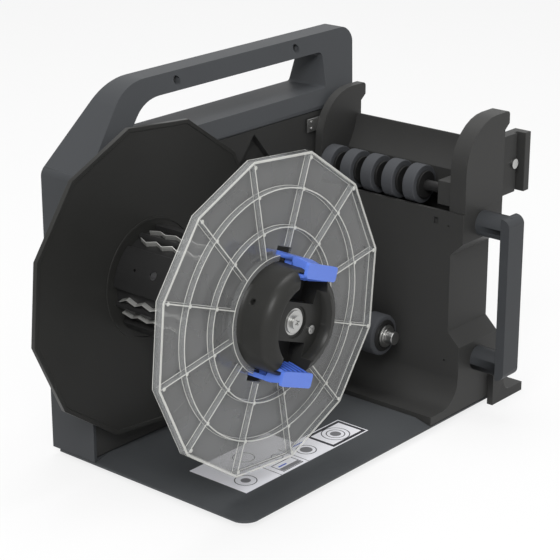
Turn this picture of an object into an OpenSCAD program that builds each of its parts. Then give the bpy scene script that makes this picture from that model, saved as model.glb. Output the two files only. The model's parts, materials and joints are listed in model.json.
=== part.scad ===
// Label rewinder: a motor-driven spindle winds printed labels between two twelve-sided flanges.
// X runs from the spindle towards the printer side, Y from the front to the back, Z up from the floor.

/* [Housing] */
// Distance from the spindle axis to the housing's left side
housing_left = 51.7; // [50:0.1:70]
// Distance from the spindle axis to the housing's right side
housing_right = 232; // [228:0.5:262]
// Sideways run of the right side between the leaning face's lower edge and the top
crown_reach = 29; // [12:1:36]
// Depth of the housing from its front face to its back
housing_depth = 42; // [41:1:60]
// Height of the housing's top above the floor
housing_top = 261; // [256:1:290]
// Thickness of the housing's outer skin around the covers
housing_wall = 2.5; // [2:0.5:4]
// Width of the ledge that the covers seat on
housing_ledge = 3; // [2:0.5:5]
// Height of the upper edge of the two covers
cover_top = 211; // [205:1:213]
// Thickness of the front and rear covers
cover_t = 2.5; // [2:0.5:4]
// How far the covers lie below the housing's faces
cover_inset = 0.5; // [0.2:0.1:1]
// Height where the slanted left corner begins
shoulder_z = 209.7; // [200:0.1:220]
// Sideways run of the slanted left corner
shoulder_run = 63.5; // [50:0.5:75]
// Rounding at the lower end of the slanted corner
shoulder_r = 8; // [4:1:14]
// Rounding at the upper end of the slanted corner
crown_r = 55; // [15:1:70]
// Rounding of the upper right corner
top_corner_r = 7; // [4:0.5:12]
// Height where the front face starts to lean back
lean_z = 213.5; // [213:0.5:218]
// Depth of the handle bar at the top
bar_depth = 18; // [14:1:24]
// Height of the handle bar
bar_h = 12.7; // [10:0.1:18]
// Height of the sill under the handle window
sill_z = 224; // [222:1:232]
// Position of the sill's left end from the spindle axis
sill_left = -8; // [-14:1:10]
// Sideways run of the window's slanted left end
window_run = 32; // [20:1:36]
// Rounding of the window's upper left corner
window_r = 45; // [8:1:55]
// Width of the post on the right of the window, at its top
window_post_w = 44.5; // [38:0.5:60]
// Sideways run of the window's slanted right end
window_right_run = 10.5; // [4:0.5:14]
// Height of the triangular recess in the front cover
arrow_h = 22; // [16:1:30]
// Width of the triangular recess at its lower edge
arrow_w = 38; // [24:1:44]
// Position of the triangular recess from the spindle axis
arrow_x = 118.5; // [112:0.5:125]
// Depth of the triangular recess
arrow_depth = 7; // [3:0.5:10]
// Thickness of the walls around the triangular recess
arrow_wall = 2; // [1.5:0.5:3]

/* [Base] */
// Distance from the housing's front face to the base's front edge
base_front = 141; // [138:1:170]
// Thickness of the base under the housing and the tower
base_t = 2; // [1.5:0.5:3]
// Height of the raised middle above the base's underside
plateau_h = 5; // [4:0.5:8]
// Width of the sloping border
border_w = 14; // [8:1:20]
// Height of the border at its outer edge
border_edge_h = 1.5; // [1:0.5:3]
// Rounding of the base's front left corner
base_corner_r = 12; // [6:1:20]
// How far the base stops short of the housing's back
base_back_gap = 7; // [4:1:12]
// Height of the rubber feet
foot_h = 4.5; // [3:0.5:8]
// Radius of the rubber feet
foot_r = 8; // [6:0.5:12]
// Distance of the feet from the base's edges
foot_inset = 16; // [14:1:24]
// Width of the instruction sheet on the base
sheet_w = 132; // [100:1:140]
// Depth of the instruction sheet at its left part
sheet_d = 52; // [40:1:56]
// Depth of the instruction sheet at its right part
sheet_right_d = 28; // [20:1:40]
// Thickness of the instruction sheet
sheet_t = 0.3; // [0.2:0.1:0.5]

/* [Tower] */
// Distance from the spindle axis to the tower's inner side panel
tower_left = 182.7; // [182:0.1:190]
// Width of the tower above its foot
tower_w = 48.8; // [46:0.1:56]
// Height of the tower's top above the floor
tower_top = 158.5; // [156:0.5:164]
// Thickness of the tower's walls
tower_wall = 3; // [2.5:0.5:4]
// Thickness of the tower's front wall, which carries the carry handle
tower_front_t = 13.7; // [12.5:0.1:16]
// Thickness of the tower's back wall
tower_back_t = 9; // [8:0.5:12]
// Sideways reach of the flared foot
flare_reach = 32.7; // [28:0.1:36]
// Radius of the flare's concave curve
flare_r = 20; // [14:1:24]
// Height of the flared foot's edge
flare_edge_h = 6.5; // [4:0.5:9]
// Depth of the finger recess behind the carry handle
recess_depth = 10.5; // [8:0.5:11]
// Length of the slanted ends of the finger recess
recess_slope = 10; // [6:1:14]
// How far the locating tongue reaches beyond the tower
tongue_reach = 30; // [24:1:36]
// Thickness of the locating tongue
tongue_t = 7; // [5:0.5:9]
// Depth of the locating tongue behind the tower's front face
tongue_depth = 9; // [7:0.5:12]
// Thickness of the locating bracket's front leg
bracket_t = 5; // [4:0.5:7]
// Height of the locating bracket
bracket_h = 24; // [22:1:28]

/* [Carry handle] */
// Radius of the carry handle's posts
post_r = 9.4; // [8:0.1:10]
// Length of the posts from the tower to the grip
post_l = 22; // [18:1:30]
// Distance between the posts
post_span = 105; // [100:1:110]
// Distance of the upper post's centre below the tower's top
post_drop = 10.7; // [10:0.1:14]
// Width of the grip
grip_w = 19; // [16:0.5:22]
// Thickness of the grip
grip_t = 7.5; // [6:0.5:10]
// How far the grip runs past the posts' centres
grip_over = 9.5; // [9:0.5:10]
// Rounding of the grip's ends
grip_r = 6.5; // [4:0.5:7]

/* [Label guide] */
// Thickness of the rear end plate
rear_fin_t = 6.5; // [5:0.5:8]
// Gap between the rear end plate and the housing
rear_fin_gap = 2.5; // [2:0.5:3]
// Width of the end plates
fin_w = 47; // [44:0.5:50]
// Height of the end plates above the tower
fin_h = 66.7; // [60:0.1:72]
// Rounding of the end plates' nose
fin_r = 36; // [20:1:40]
// How far the end plates' hooks stand out
hook_reach = 5.3; // [3:0.1:7]
// Height of the end plates' hooks
hook_h = 9.2; // [7:0.1:12]
// Radius of the guide plate's concave face
guide_r = 58.5; // [57:0.5:60]
// Thickness of the guide plate
guide_t = 2.5; // [2:0.5:3]
// Width of the printer hook bracket beside the end plate
hook_w = 38.5; // [34:0.5:44]
// Height of the printer hook bracket
hook_plate_h = 45; // [38:1:48]
// Thickness of the printer hook bracket
hook_plate_t = 6; // [5:0.5:7]
// Width of the lip at the printer hook's edge
lip_w = 7; // [5:0.5:9]
// How far the lip stands forward
lip_reach = 5; // [3:0.5:7]

/* [Rollers] */
// Number of rollers in the upper row
roller_count = 5; // [3:1:5]
// Radius of the upper rollers' tyres
roller_r = 14.3; // [12:0.1:15]
// Width of the upper rollers' tyres
roller_w = 10; // [8:0.5:12]
// Distance between the upper rollers
roller_pitch = 19.4; // [18:0.1:20]
// Radius of the upper rollers' hubs
roller_hub_r = 10.2; // [8:0.1:11]
// Distance of the upper roller axis from the tower's inner side panel
roller_x = 12.3; // [11:0.1:14]
// Height of the upper roller axis above the tower's top
roller_rise = 12.3; // [11:0.1:13.5]
// Radius of the upper roller shaft
roller_shaft_r = 4; // [3:0.5:5]
// Radius of the lower roller
lower_r = 15.5; // [14:0.5:16.5]
// Width of the lower roller's tyre
lower_l = 14; // [10:1:30]
// How far the lower roller's boss stands out from the housing
lower_mount_l = 70; // [50:1:74]
// Distance of the lower roller's axis from the spindle axis
lower_x = 165; // [160:0.5:165.5]
// Height of the lower roller's axis
lower_z = 58.5; // [56:0.5:70]
// Radius of the lower roller's shaft
lower_shaft_r = 5; // [4:0.5:6]
// Thickness of the lower roller's tyre
lower_tyre_t = 3.5; // [2.5:0.5:5]

/* [Spindle] */
// Height of the spindle axis above the floor
spindle_z = 131.2; // [129:0.1:136]
// Radius of the spindle shaft
spindle_r = 9; // [8:0.5:10]
// Radius of the core seat over the shoes
core_r = 38; // [36:0.5:38.2]
// Length of the core seat
drum_l = 66; // [50:1:68]
// Number of gripping shoes
shoe_count = 4; // [3:1:5]
// Angle that each shoe covers
shoe_angle = 47; // [40:1:62]
// Thickness of the shoes
shoe_t = 4; // [3:0.5:5]
// Wall thickness of the drum under the shoes
drum_t = 4; // [3:0.5:6]
// Thickness of the spring strips beside the shoes
spring_t = 0.5; // [0.4:0.1:0.8]
// Number of waves in each spring strip
spring_waves = 4; // [3:1:6]
// Radius of the inner flange at its corners
inner_flange_r = 112; // [106:0.5:114]
// Thickness of the inner flange
inner_flange_t = 3.5; // [3:0.5:5]
// Distance from the housing's front face to the inner flange's front
inner_flange_y = 10; // [9.5:0.5:12]

/* [Outer flange] */
// Radius of the outer flange at its corners
flange_r = 110; // [104:0.5:112]
// Number of sides of both flanges
flange_sides = 12; // [8:1:12]
// Turn of the flanges' first corner from the X direction
flange_phase = 9.74; // [0:0.01:15]
// Distance from the housing's front face to the outer flange's front edge
flange_y = 120.4; // [118:0.1:124]
// Depth of the outer flange's rim
rim_d = 6.4; // [5:0.1:8]
// Thickness of the outer flange's rim
rim_t = 2; // [1.5:0.1:3]
// Thickness of the outer flange's web
web_t = 2; // [1.5:0.1:3]
// Thickness of the outer flange's ribs
rib_t = 1.6; // [1.2:0.1:2.5]
// Radius of the inner ring rib
ring_in_r = 59; // [54:1:64]
// Radius of the outer ring rib
ring_out_r = 85; // [80:1:92]
// Radius of the bosses where ribs cross
rib_boss_r = 2.2; // [1.6:0.1:3]

/* [Hub and levers] */
// Radius of the hub's barrel
hub_r = 36.5; // [35:0.5:37]
// How far the hub stands out in front of the outer flange
hub_l = 26.6; // [26:0.1:32]
// Rounding of the hub's front rim
hub_rim_r = 9; // [4:0.5:9]
// Radius of the cup in the hub's front
cup_r = 27; // [25:0.5:28]
// Depth of the cup in the hub's front
cup_d = 8.5; // [7:0.5:13]
// Width of the levers' front plates
paddle_w = 31; // [26:0.5:34]
// Height of the levers' front plates
paddle_h = 10; // [8:0.5:11]
// Thickness of the levers' front plates
paddle_t = 2.5; // [2:0.5:4]
// Gap between the levers' front plates and the hub
paddle_gap = 1.2; // [1:0.1:2]
// Width of the levers' necks
neck_w = 14; // [12:0.5:16]
// Width of the levers' pads inside the cup
pad_w = 26; // [20:0.5:27]
// Width of the levers' arms
arm_w = 12; // [10:0.5:14]
// Thickness of the levers' arms
arm_t = 3; // [2.5:0.5:3.5]
// How far the arms reach behind the outer flange's front edge
arm_reach = 14.4; // [12:0.2:16]

/* [Drive] */
// Module of the gear teeth
gear_module = 1.25; // [1.2:0.05:1.3]
// Teeth on the spindle's drive gear
gear_teeth = 72; // [68:1:76]
// Teeth on the motor's pinion
pinion_teeth = 18; // [16:1:20]
// Face width of the gears
gear_w = 8; // [6:0.5:9]
// Width of the square motor
motor_w = 42; // [38:1:44]
// Length of the motor
motor_l = 14; // [10:0.5:14]
// Angle of the motor below the X direction, seen from the spindle
motor_angle = 20; // [10:1:30]
// Outer radius of the spindle bearings
bearing_r = 16; // [15:0.5:18]
// Width of the spindle bearings
bearing_w = 7; // [5:0.5:7]
// Thickness of the gear frame's plates
frame_plate_t = 2; // [1.5:0.5:2.5]

/* [Electrics] */
// Width of the control board
board_w = 80; // [60:1:85]
// Height of the control board
board_h = 62; // [50:1:70]
// Thickness of the control board
board_t = 1.6; // [1:0.1:2]
// Width of the power switch's rocker
rocker_w = 13; // [11:0.5:15]
// Height of the power switch's rocker
rocker_h = 19; // [17:0.5:22]
// Width of the power inlet
inlet_w = 14; // [12:0.5:16]
// Height of the power inlet
inlet_h = 11; // [10:0.5:13]
// Radius of the power inlet's socket
inlet_r = 3.2; // [2.8:0.1:4]

/* [Fits] */
// Radial clearance of shafts that turn or slide
run_fit = 0.05; // [0.02:0.01:0.1]
// Gap around fitted panels and fixed round seats
seat_gap = 0.15; // [0.1:0.05:0.3]
// Gap around the edges of the housing's covers
cover_gap = 0.6; // [0.2:0.1:1]
// Gap around moving pieces
move_gap = 0.6; // [0.4:0.1:1]
// Radius of the small screws' shanks
screw_r = 1.5; // [1.2:0.1:1.8]
// Radius of the small screws' heads
screw_head_r = 3; // [2.6:0.1:3.4]
// Thickness of the small screws' heads
screw_head_t = 1.3; // [1:0.1:1.5]

/* [Hidden] */
$fn = 64;

eps = 0.01;
seat_fit = 0.03;
far = 500;

// Main levels and faces
base_z = foot_h;
plateau_z = base_z + plateau_h;
housing_z = base_z + base_t;
tower_right = tower_left + tower_w;
handle_y = -base_front - post_l;
grip_y = handle_y - grip_t;
hook_right = tower_right + hook_w;

// Centre of the whole object's box, which lies over the origin
flange_step = 360 / flange_sides;
flange_left = max(inner_flange_r, flange_r)
    * max([for (i = [0:flange_sides - 1]) -cos(flange_phase + i * flange_step)]);
centre_x = (hook_right - flange_left) / 2;
centre_y = (grip_y + housing_depth) / 2;

// Cavity inside the housing, and the pockets for its covers
pocket_x0 = -housing_left + housing_wall;
pocket_x1 = housing_right - housing_wall;
pocket_z0 = housing_z + housing_wall;
cavity_x0 = pocket_x0 + housing_ledge;
cavity_x1 = pocket_x1 - housing_ledge;
cavity_z0 = pocket_z0 + housing_ledge;
cavity_z1 = cover_top - housing_ledge;
cover_back = cover_inset + cover_t;
rear_cover_y = housing_depth - cover_back;
window_top = housing_top - bar_h;
crown_right = housing_right + crown_reach;
window_right = crown_right - window_post_w;
arrow_drop = 4.5;
arrow_z = cover_top - arrow_drop - arrow_h;
arrow_half = atan(arrow_w / 2 / arrow_h);

// Vent slots in the rear cover
vent_count = 9;
vent_pitch = 6;
vent_slot = 2.5;
vent_w = 56;
vent_x = 0;
vent_z = cavity_z0 + 22;

// Screws in the handle bar
bar_screw_x = [60, window_right - 27];
bar_screw_z = housing_top - bar_h / 2;
bar_screw_head_r = 3.2;
bar_screw_head_y = housing_depth - bar_depth + 1;
bar_screw_l = 12;

// Tower details
tower_cavity_y0 = -base_front + tower_front_t;
tower_cavity_y1 = -tower_back_t;
tower_floor_z = housing_z + tower_wall;
upper_post_z = tower_top - post_drop;
lower_post_z = upper_post_z - post_span;
recess_z0 = lower_post_z + post_r + 5;
recess_z1 = upper_post_z - post_r - 1.5;
post_x = tower_left + 24;
handle_screw_r = 2;
handle_screw_l = 26;
handle_screw_head_t = 3;
bracket_leg_t = 4.5;
bracket_fillet = 9;
bracket_wrap = 9.5;
bracket_screw_y = -base_front + 0.7 * tongue_depth;
bracket_screw_z = tongue_t + bracket_fillet + screw_head_r + 0.4;
bracket_screw_l = 12;

// Label guide
fin_right = tower_right;
fin_left = fin_right - fin_w;
front_fin_y0 = -base_front;
front_fin_y1 = tower_cavity_y0;
rear_fin_y1 = -rear_fin_gap;
rear_fin_y0 = rear_fin_y1 - rear_fin_t;
fin_top = tower_top + fin_h;
guide_cx = fin_right - 1 - guide_t - guide_r;
guide_cz = tower_top + 55.5;
guide_start = -11;
guide_end = -37;
hook_leg_h = 12;
hook_leg_w = 18;
hook_leg_t = 3;
hook_groove_d = 2.5;
hook_head_r = 3.7;
hook_head_t = 2;
hook_back_y = tower_cavity_y0 + hook_leg_t;
hook_front_y = tower_cavity_y0 - hook_plate_t;
hook_z0 = tower_top - 1;
hook_groove_w = 4;

// Upper rollers
roller_axis_x = tower_left + roller_x;
roller_axis_z = tower_top + roller_rise;
first_roller_y = rear_fin_y0 - 0.5 - roller_w / 2;
bush_t = 2;
bush_r = roller_shaft_r + bush_t;
roller_hub_w = roller_w + 4;
roller_bracket_y = tower_cavity_y0 + 12;

// Lower roller
lower_back_y = -lower_mount_l - 1;
lower_front_y = lower_back_y - 1 - lower_l - 1;
lower_washer_t = 1.2;
lower_washer_r = lower_shaft_r + 3.5;
lower_clip_t = 1;
lower_groove = 1;
lower_end_y = lower_front_y - 9;
lower_seat_l = 9;
lower_inner_y = cover_back + lower_seat_l;
lower_core_r = lower_r - lower_tyre_t;
lower_mount_t = 6;
lower_mount_r = lower_shaft_r + lower_mount_t;
lower_flange_w = 5;
lower_clip_y = lower_front_y - 0.3 - lower_washer_t - 0.3;

// Spindle, drum and inner flange
flange_back_y = -inner_flange_y + inner_flange_t;
spindle_collar_r = spindle_r + 11;
drum_y0 = -inner_flange_y - drum_l;
drum_r = core_r - shoe_t;
shoe_phase = 151;
shoe_gap = 0.02;
land_in = 4;
land_out = 6;
cup_floor_y = -flange_y - hub_l + cup_d;
shaft_end_y = cup_floor_y + 1.5;
washer_t = 1.2;
washer_r = spindle_r - 1.2;

// Outer flange, hub and levers
flange_back = -flange_y + rim_d;
hub_front_y = -flange_y - hub_l;
hub_collar_t = 2;
hub_collar_r = hub_r + 5;
hub_back_y = flange_back + hub_collar_t;
lever_angles = [flange_phase + 60, flange_phase + 240];
arm_in_r = hub_r + 2;
arm_out_r = arm_in_r + arm_t;
arm_back_y = -flange_y + arm_reach;
pivot_y = -flange_y - 3.6;
pivot_r = hub_r - 3.5;
pin_r = 1.5;
pin_l = 18;
ear_w = 6;
ear_r = 3;
ear_slot = 7;
pocket_floor_r = 13;
paddle_back_y = hub_front_y + 17;
plate_back_y = hub_front_y - paddle_gap;
plate_front_y = plate_back_y - paddle_t;
plate_out_r = hub_r + 4;
plate_in_r = plate_out_r - paddle_h;
plate_corner_r = 2;
pad_t = 1.5;
pad_out_r = plate_in_r + pad_t;
pad_back_y = paddle_back_y - 3;
pad_slope = 11;
pad_root_r = plate_in_r - (pad_back_y - plate_back_y) * tan(pad_slope);
pocket_gap = move_gap + 0.9;
spring_coil_r = pin_r + 1.3;
spring_gap = 0.4;
spring_coil_l = ear_slot - ear_w / 2 - spring_gap;
slot_half_w = arm_w / 2 + 1.5;
slot_out_r = arm_out_r + 4.5;

// Gear train
gear_r = gear_module * gear_teeth / 2;
pinion_r = gear_module * pinion_teeth / 2;
gear_distance = gear_r + pinion_r;
motor_x = gear_distance * cos(motor_angle);
motor_z = spindle_z - gear_distance * sin(motor_angle);
frame_front_y = cover_back + 0.2;
front_bearing_y = frame_front_y;
gear_y0 = front_bearing_y + bearing_w + 1.3;
frame_rear_y = gear_y0 + gear_w + 2.3;
rear_bearing_y = frame_rear_y;
motor_y0 = frame_rear_y + frame_plate_t;
shaft_back_y = rear_bearing_y + bearing_w;
motor_shaft_r = 2.5;
motor_pilot_r = 11;
motor_screw_off = 15.5;
motor_screw_l = 7;
frame_x0 = cavity_x0 + 14;
frame_x1 = motor_x + motor_w / 2 + 6;
frame_post_r = 4;
bearing_boss_r = bearing_r + 4;

// Bosses for the rear cover's screws
boss_r = 5;
boss_off = 2;
boss_frame_gap = 4;
boss_x = [cavity_x0 + boss_off, frame_x1 + boss_r + boss_frame_gap, cavity_x1 - boss_off];
boss_z = [cavity_z0 + boss_off, cavity_z1 - boss_off];
cover_screw_l = 10;

// Control board, inlet and switch
board_frame_gap = 25;
board_rise = 41.5;
board_stand = 14;
board_x = frame_x1 + board_frame_gap;
board_z = lower_z + board_rise;
board_y = rear_cover_y - board_stand;
board_post_r = 3.5;
board_post_in = 5;
board_screw_l = 7.6;
// Parts on the board: left, lower, right and upper edge as shares of the board, height in board thicknesses
board_chips = [
    [0.2, 0.22, 0.38, 0.45, 2],
    [0.55, 0.26, 0.82, 0.42, 3],
    [0.2, 0.64, 0.45, 0.84, 2.5],
    [0.62, 0.67, 0.78, 0.87, 3.5]
];
inlet_x = housing_right - 39;
inlet_z = 40;
inlet_l = 12;
switch_x = inlet_x - 26;
switch_z = inlet_z;
switch_wall = 1.6;
switch_l = 14;
rocker_pivot_y = rear_cover_y + cover_t - 5;
rocker_tilt = 8;
rocker_pin_r = 1.5;

// Points on a circular arc around a centre, in degrees
function arc(c, r, a0, a1, n) =
    [for (i = [0:n]) [c[0] + r * cos(a0 + (a1 - a0) * i / n), c[1] + r * sin(a0 + (a1 - a0) * i / n)]];

// Corner of an outline replaced by an arc of radius r
function corner(a, p, b, r, n) =
    let (
        u = (a - p) / norm(a - p),
        v = (b - p) / norm(b - p),
        half = acos(u * v) / 2,
        c = p + (u + v) / norm(u + v) * r / sin(half),
        start = p + u * r / tan(half) - c,
        turn = (cross(p - a, b - p) > 0 ? 1 : -1) * (180 - 2 * half)
    )
    [for (i = [0:n])
        let (w = turn * i / n)
        c + [start[0] * cos(w) - start[1] * sin(w), start[0] * sin(w) + start[1] * cos(w)]];

// Outline whose corners are rounded by the listed radii
function rounded(pts, radii, n = 8) =
    let (count = len(pts))
    [for (i = [0:count - 1])
        each radii[i] > 0
            ? corner(pts[(i + count - 1) % count], pts[i], pts[(i + 1) % count], radii[i], n)
            : [pts[i]]];

// Outline of a gear with straight-sided teeth; the first tooth points along X
function gear_outline(teeth) =
    let (
        pitch_r = gear_module * teeth / 2,
        tip_r = pitch_r + 0.85 * gear_module,
        root_r = pitch_r - 1.2 * gear_module,
        step = 360 / teeth
    )
    [for (i = [0:teeth - 1])
        each [
            for (corner = [[root_r, -0.31], [tip_r, -0.11], [tip_r, 0.11], [root_r, 0.31]])
            corner[0] * [cos((i + corner[1]) * step), sin((i + corner[1]) * step)]
        ]];

// Moves the whole object so that its box is centred over the origin
module place() {
    translate([-centre_x, -centre_y, 0]) children();
}

// Solid from an outline in X and Z, between two depths
module along_y(pts, y0, y1) {
    translate([0, y1, 0]) rotate([90, 0, 0]) linear_extrude(y1 - y0) polygon(pts);
}

// Solid from an outline in Y and Z, between two sides
module along_x(pts, x0, x1) {
    translate([x0, 0, 0]) rotate([90, 0, 90]) linear_extrude(x1 - x0) polygon(pts);
}

// Box between two corners
module block(low, high) {
    translate(low) cube(high - low);
}

// Round bar along Y between two depths
module rod(x, z, r, y0, y1) {
    translate([x, y1, z]) rotate([90, 0, 0]) cylinder(r = r, h = y1 - y0);
}

// Ring along Y between two depths
module ring(x, z, r_out, r_in, y0, y1) {
    difference() {
        rod(x, z, r_out, y0, y1);
        rod(x, z, r_in, y0 - 1, y1 + 1);
    }
}

// Frame of the spindle: the axis lies along Y, and X is turned by an angle towards Z
module on_spindle(angle = 0) {
    translate([0, 0, spindle_z]) rotate([0, -angle, 0]) children();
}

// Flat many-sided plate around the spindle
module flange_plate(r, y0, y1) {
    on_spindle(flange_phase) translate([0, y1, 0]) rotate([90, 0, 0])
        cylinder(r = r, h = y1 - y0, $fn = flange_sides);
}

// Screw along Y whose head faces the front (dir = -1) or the back (dir = 1)
module screw(x, z, r, l, head_r, head_t, head_y, dir) {
    rod(x, z, head_r, min(head_y, head_y + dir * head_t), max(head_y, head_y + dir * head_t));
    rod(x, z, r, min(head_y - dir * l, head_y), max(head_y - dir * l, head_y));
}

// Outline of the housing seen from the front
housing_pts = rounded(
    [
        [-housing_left, housing_z],
        [housing_right, housing_z],
        [housing_right, lean_z],
        [crown_right, housing_top],
        [-housing_left + shoulder_run, housing_top],
        [-housing_left, shoulder_z]
    ],
    [0, 0, shoulder_r, top_corner_r, crown_r, shoulder_r]
);

// Outline of the handle window
window_pts = rounded(
    [
        [sill_left, sill_z],
        [window_right - window_right_run, sill_z],
        [window_right, window_top],
        [sill_left + window_run, window_top]
    ],
    [3, 3, 3, window_r]
);

// Outline of the end plates of the label guide
fin_pts = rounded(
    [
        [fin_left, tower_top],
        [fin_right, tower_top],
        [fin_right, fin_top - hook_h - 4.2],
        [fin_right + hook_reach, fin_top - hook_h],
        [fin_right + hook_reach, fin_top],
        [fin_left, fin_top]
    ],
    [0, 0, 0, 0, 3, fin_r]
);

module housing_shell() {
    color("#4c4e51") place() difference() {
        union() {
            difference() {
                along_y(housing_pts, 0, housing_depth);
                // lean of the upper front face
                along_x(
                    [[-1, lean_z], [0, lean_z], [housing_depth - bar_depth, housing_top],
                     [housing_depth - bar_depth, housing_top + 1], [-1, housing_top + 1]],
                    -housing_left - 1, crown_right + 1
                );
                along_y(window_pts, -1, housing_depth + 1);
                // pockets of the covers and the cavity between them
                block([pocket_x0, -1, pocket_z0], [pocket_x1, cover_back, cover_top]);
                block([pocket_x0, rear_cover_y, pocket_z0], [pocket_x1, housing_depth + 1, cover_top]);
                block([cavity_x0, 0, cavity_z0], [cavity_x1, housing_depth, cavity_z1]);
            }
            for (x = boss_x, z = boss_z)
                intersection() {
                    rod(x, z, boss_r, cover_back, rear_cover_y);
                    block(
                        [pocket_x0, cover_back, pocket_z0],
                        [pocket_x1, rear_cover_y, cover_top]
                    );
                }
        }
        for (x = boss_x, z = boss_z)
            rod(x, z, screw_r + run_fit, rear_cover_y - cover_screw_l, rear_cover_y + 1);
        for (x = bar_screw_x) {
            rod(x, bar_screw_z, bar_screw_head_r + run_fit, -1, bar_screw_head_y + 2);
            rod(x, bar_screw_z, screw_r + run_fit, 0, bar_screw_head_y + 2 + bar_screw_l);
        }
    }
}

// Panel that fills a cover pocket
module cover_panel(y0, y1) {
    block(
        [pocket_x0 + cover_gap, y0, pocket_z0 + cover_gap],
        [pocket_x1 - cover_gap, y1, cover_top - cover_gap]
    );
}

module front_cover() {
    wall_rise = arrow_wall / sin(arrow_half);
    wall_half_w = (arrow_h + wall_rise + arrow_wall) * tan(arrow_half);
    color("#323232") place() difference() {
        union() {
            cover_panel(cover_inset, cover_back);
            intersection() {
                along_y(
                    [[arrow_x - wall_half_w, arrow_z - arrow_wall],
                     [arrow_x + wall_half_w, arrow_z - arrow_wall],
                     [arrow_x, arrow_z + arrow_h + wall_rise]],
                    cover_inset, cover_inset + arrow_depth + arrow_wall
                );
                block([cavity_x0, 0, cavity_z0], [cavity_x1, housing_depth, cavity_z1 - cover_gap]);
            }
        }
        rod(0, spindle_z, bearing_boss_r + seat_gap, 0, cover_back + 1);
        rod(lower_x, lower_z, lower_mount_r + seat_gap, 0, cover_back + 1);
        along_y(
            [[arrow_x - arrow_w / 2, arrow_z], [arrow_x + arrow_w / 2, arrow_z],
             [arrow_x, arrow_z + arrow_h]],
            0, cover_inset + arrow_depth
        );
    }
}

module rear_cover() {
    color("#4c4e51") place() difference() {
        union() {
            cover_panel(rear_cover_y, rear_cover_y + cover_t);
            for (x = [board_post_in, board_w - board_post_in], z = [board_post_in, board_h - board_post_in])
                rod(board_x + x, board_z + z, board_post_r, board_y + board_t, rear_cover_y + eps);
        }
        for (x = [board_post_in, board_w - board_post_in], z = [board_post_in, board_h - board_post_in])
            rod(board_x + x, board_z + z, screw_r + run_fit, board_y, board_y + board_screw_l + 2);
        for (x = boss_x, z = boss_z) {
            rod(x, z, screw_r + run_fit, rear_cover_y - 1, housing_depth);
            rod(x, z, screw_head_r + seat_gap, rear_cover_y + cover_t - screw_head_t, housing_depth);
        }
        block(
            [inlet_x - inlet_w / 2 - seat_gap, 0, inlet_z - inlet_h / 2 - seat_gap],
            [inlet_x + inlet_w / 2 + seat_gap, housing_depth, inlet_z + inlet_h / 2 + seat_gap]
        );
        block(
            [switch_x - rocker_w / 2 - switch_wall - move_gap - seat_gap, 0,
             switch_z - rocker_h / 2 - switch_wall - move_gap - seat_gap],
            [switch_x + rocker_w / 2 + switch_wall + move_gap + seat_gap, housing_depth,
             switch_z + rocker_h / 2 + switch_wall + move_gap + seat_gap]
        );
        for (i = [0:vent_count - 1])
            translate([vent_x, 0, vent_z + i * vent_pitch]) cube([vent_w, housing_depth, vent_slot]);
    }
}

module cover_screws() {
    color("silver") place() for (x = boss_x, z = boss_z)
        screw(x, z, screw_r, cover_screw_l, screw_head_r, screw_head_t,
              rear_cover_y + cover_t - screw_head_t, 1);
}

module bar_screws() {
    color("#303030") place() for (x = bar_screw_x)
        screw(x, bar_screw_z, screw_r, bar_screw_l, bar_screw_head_r, screw_head_t, bar_screw_head_y + 2, -1);
}

module base_plate() {
    base_back = housing_depth - base_back_gap;
    outline = rounded(
        [[-housing_left, -base_front], [tower_right, -base_front], [tower_right, 0], [housing_right, 0],
         [housing_right, base_back], [-housing_left, base_back]],
        [base_corner_r, 0, 0, 0, 0, 0]
    );
    flare_x = tower_left - flare_reach;
    color("#3b3d3f") place() intersection() {
        translate([0, 0, base_z]) linear_extrude(plateau_h) polygon(outline);
        along_y(
            [[-housing_left, base_z], [housing_right, base_z],
             [housing_right, housing_z], [flare_x, housing_z],
             [flare_x, plateau_z], [-housing_left + border_w, plateau_z],
             [-housing_left, base_z + border_edge_h]],
            -far, far
        );
        along_x(
            [[-base_front, base_z], [base_back, base_z],
             [base_back, housing_z], [0, housing_z],
             [0, plateau_z], [-base_front + border_w, plateau_z],
             [-base_front, base_z + border_edge_h]],
            -far, far
        );
    }
}

module base_sheet() {
    sheet_x = -23;
    sheet_y = -base_front + border_w + 11.5;
    split = sheet_x + 0.62 * sheet_w;
    color("#c8c8d0") place() translate([0, 0, plateau_z]) linear_extrude(sheet_t)
        polygon([
            [sheet_x, sheet_y], [sheet_x + sheet_w, sheet_y],
            [sheet_x + sheet_w, sheet_y + sheet_right_d], [split, sheet_y + sheet_right_d],
            [split, sheet_y + sheet_d], [sheet_x, sheet_y + sheet_d]
        ]);
}

module feet() {
    left = -housing_left + foot_inset;
    right = tower_right - foot_inset;
    front = -base_front + foot_inset;
    back = housing_depth - base_back_gap - foot_r - 2;
    color("#1c1c1c") place() for (p = [[left, front], [right, front], [left, back], [right, back]])
        translate([p[0], p[1], 0]) cylinder(r = foot_r, h = foot_h);
}

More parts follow.
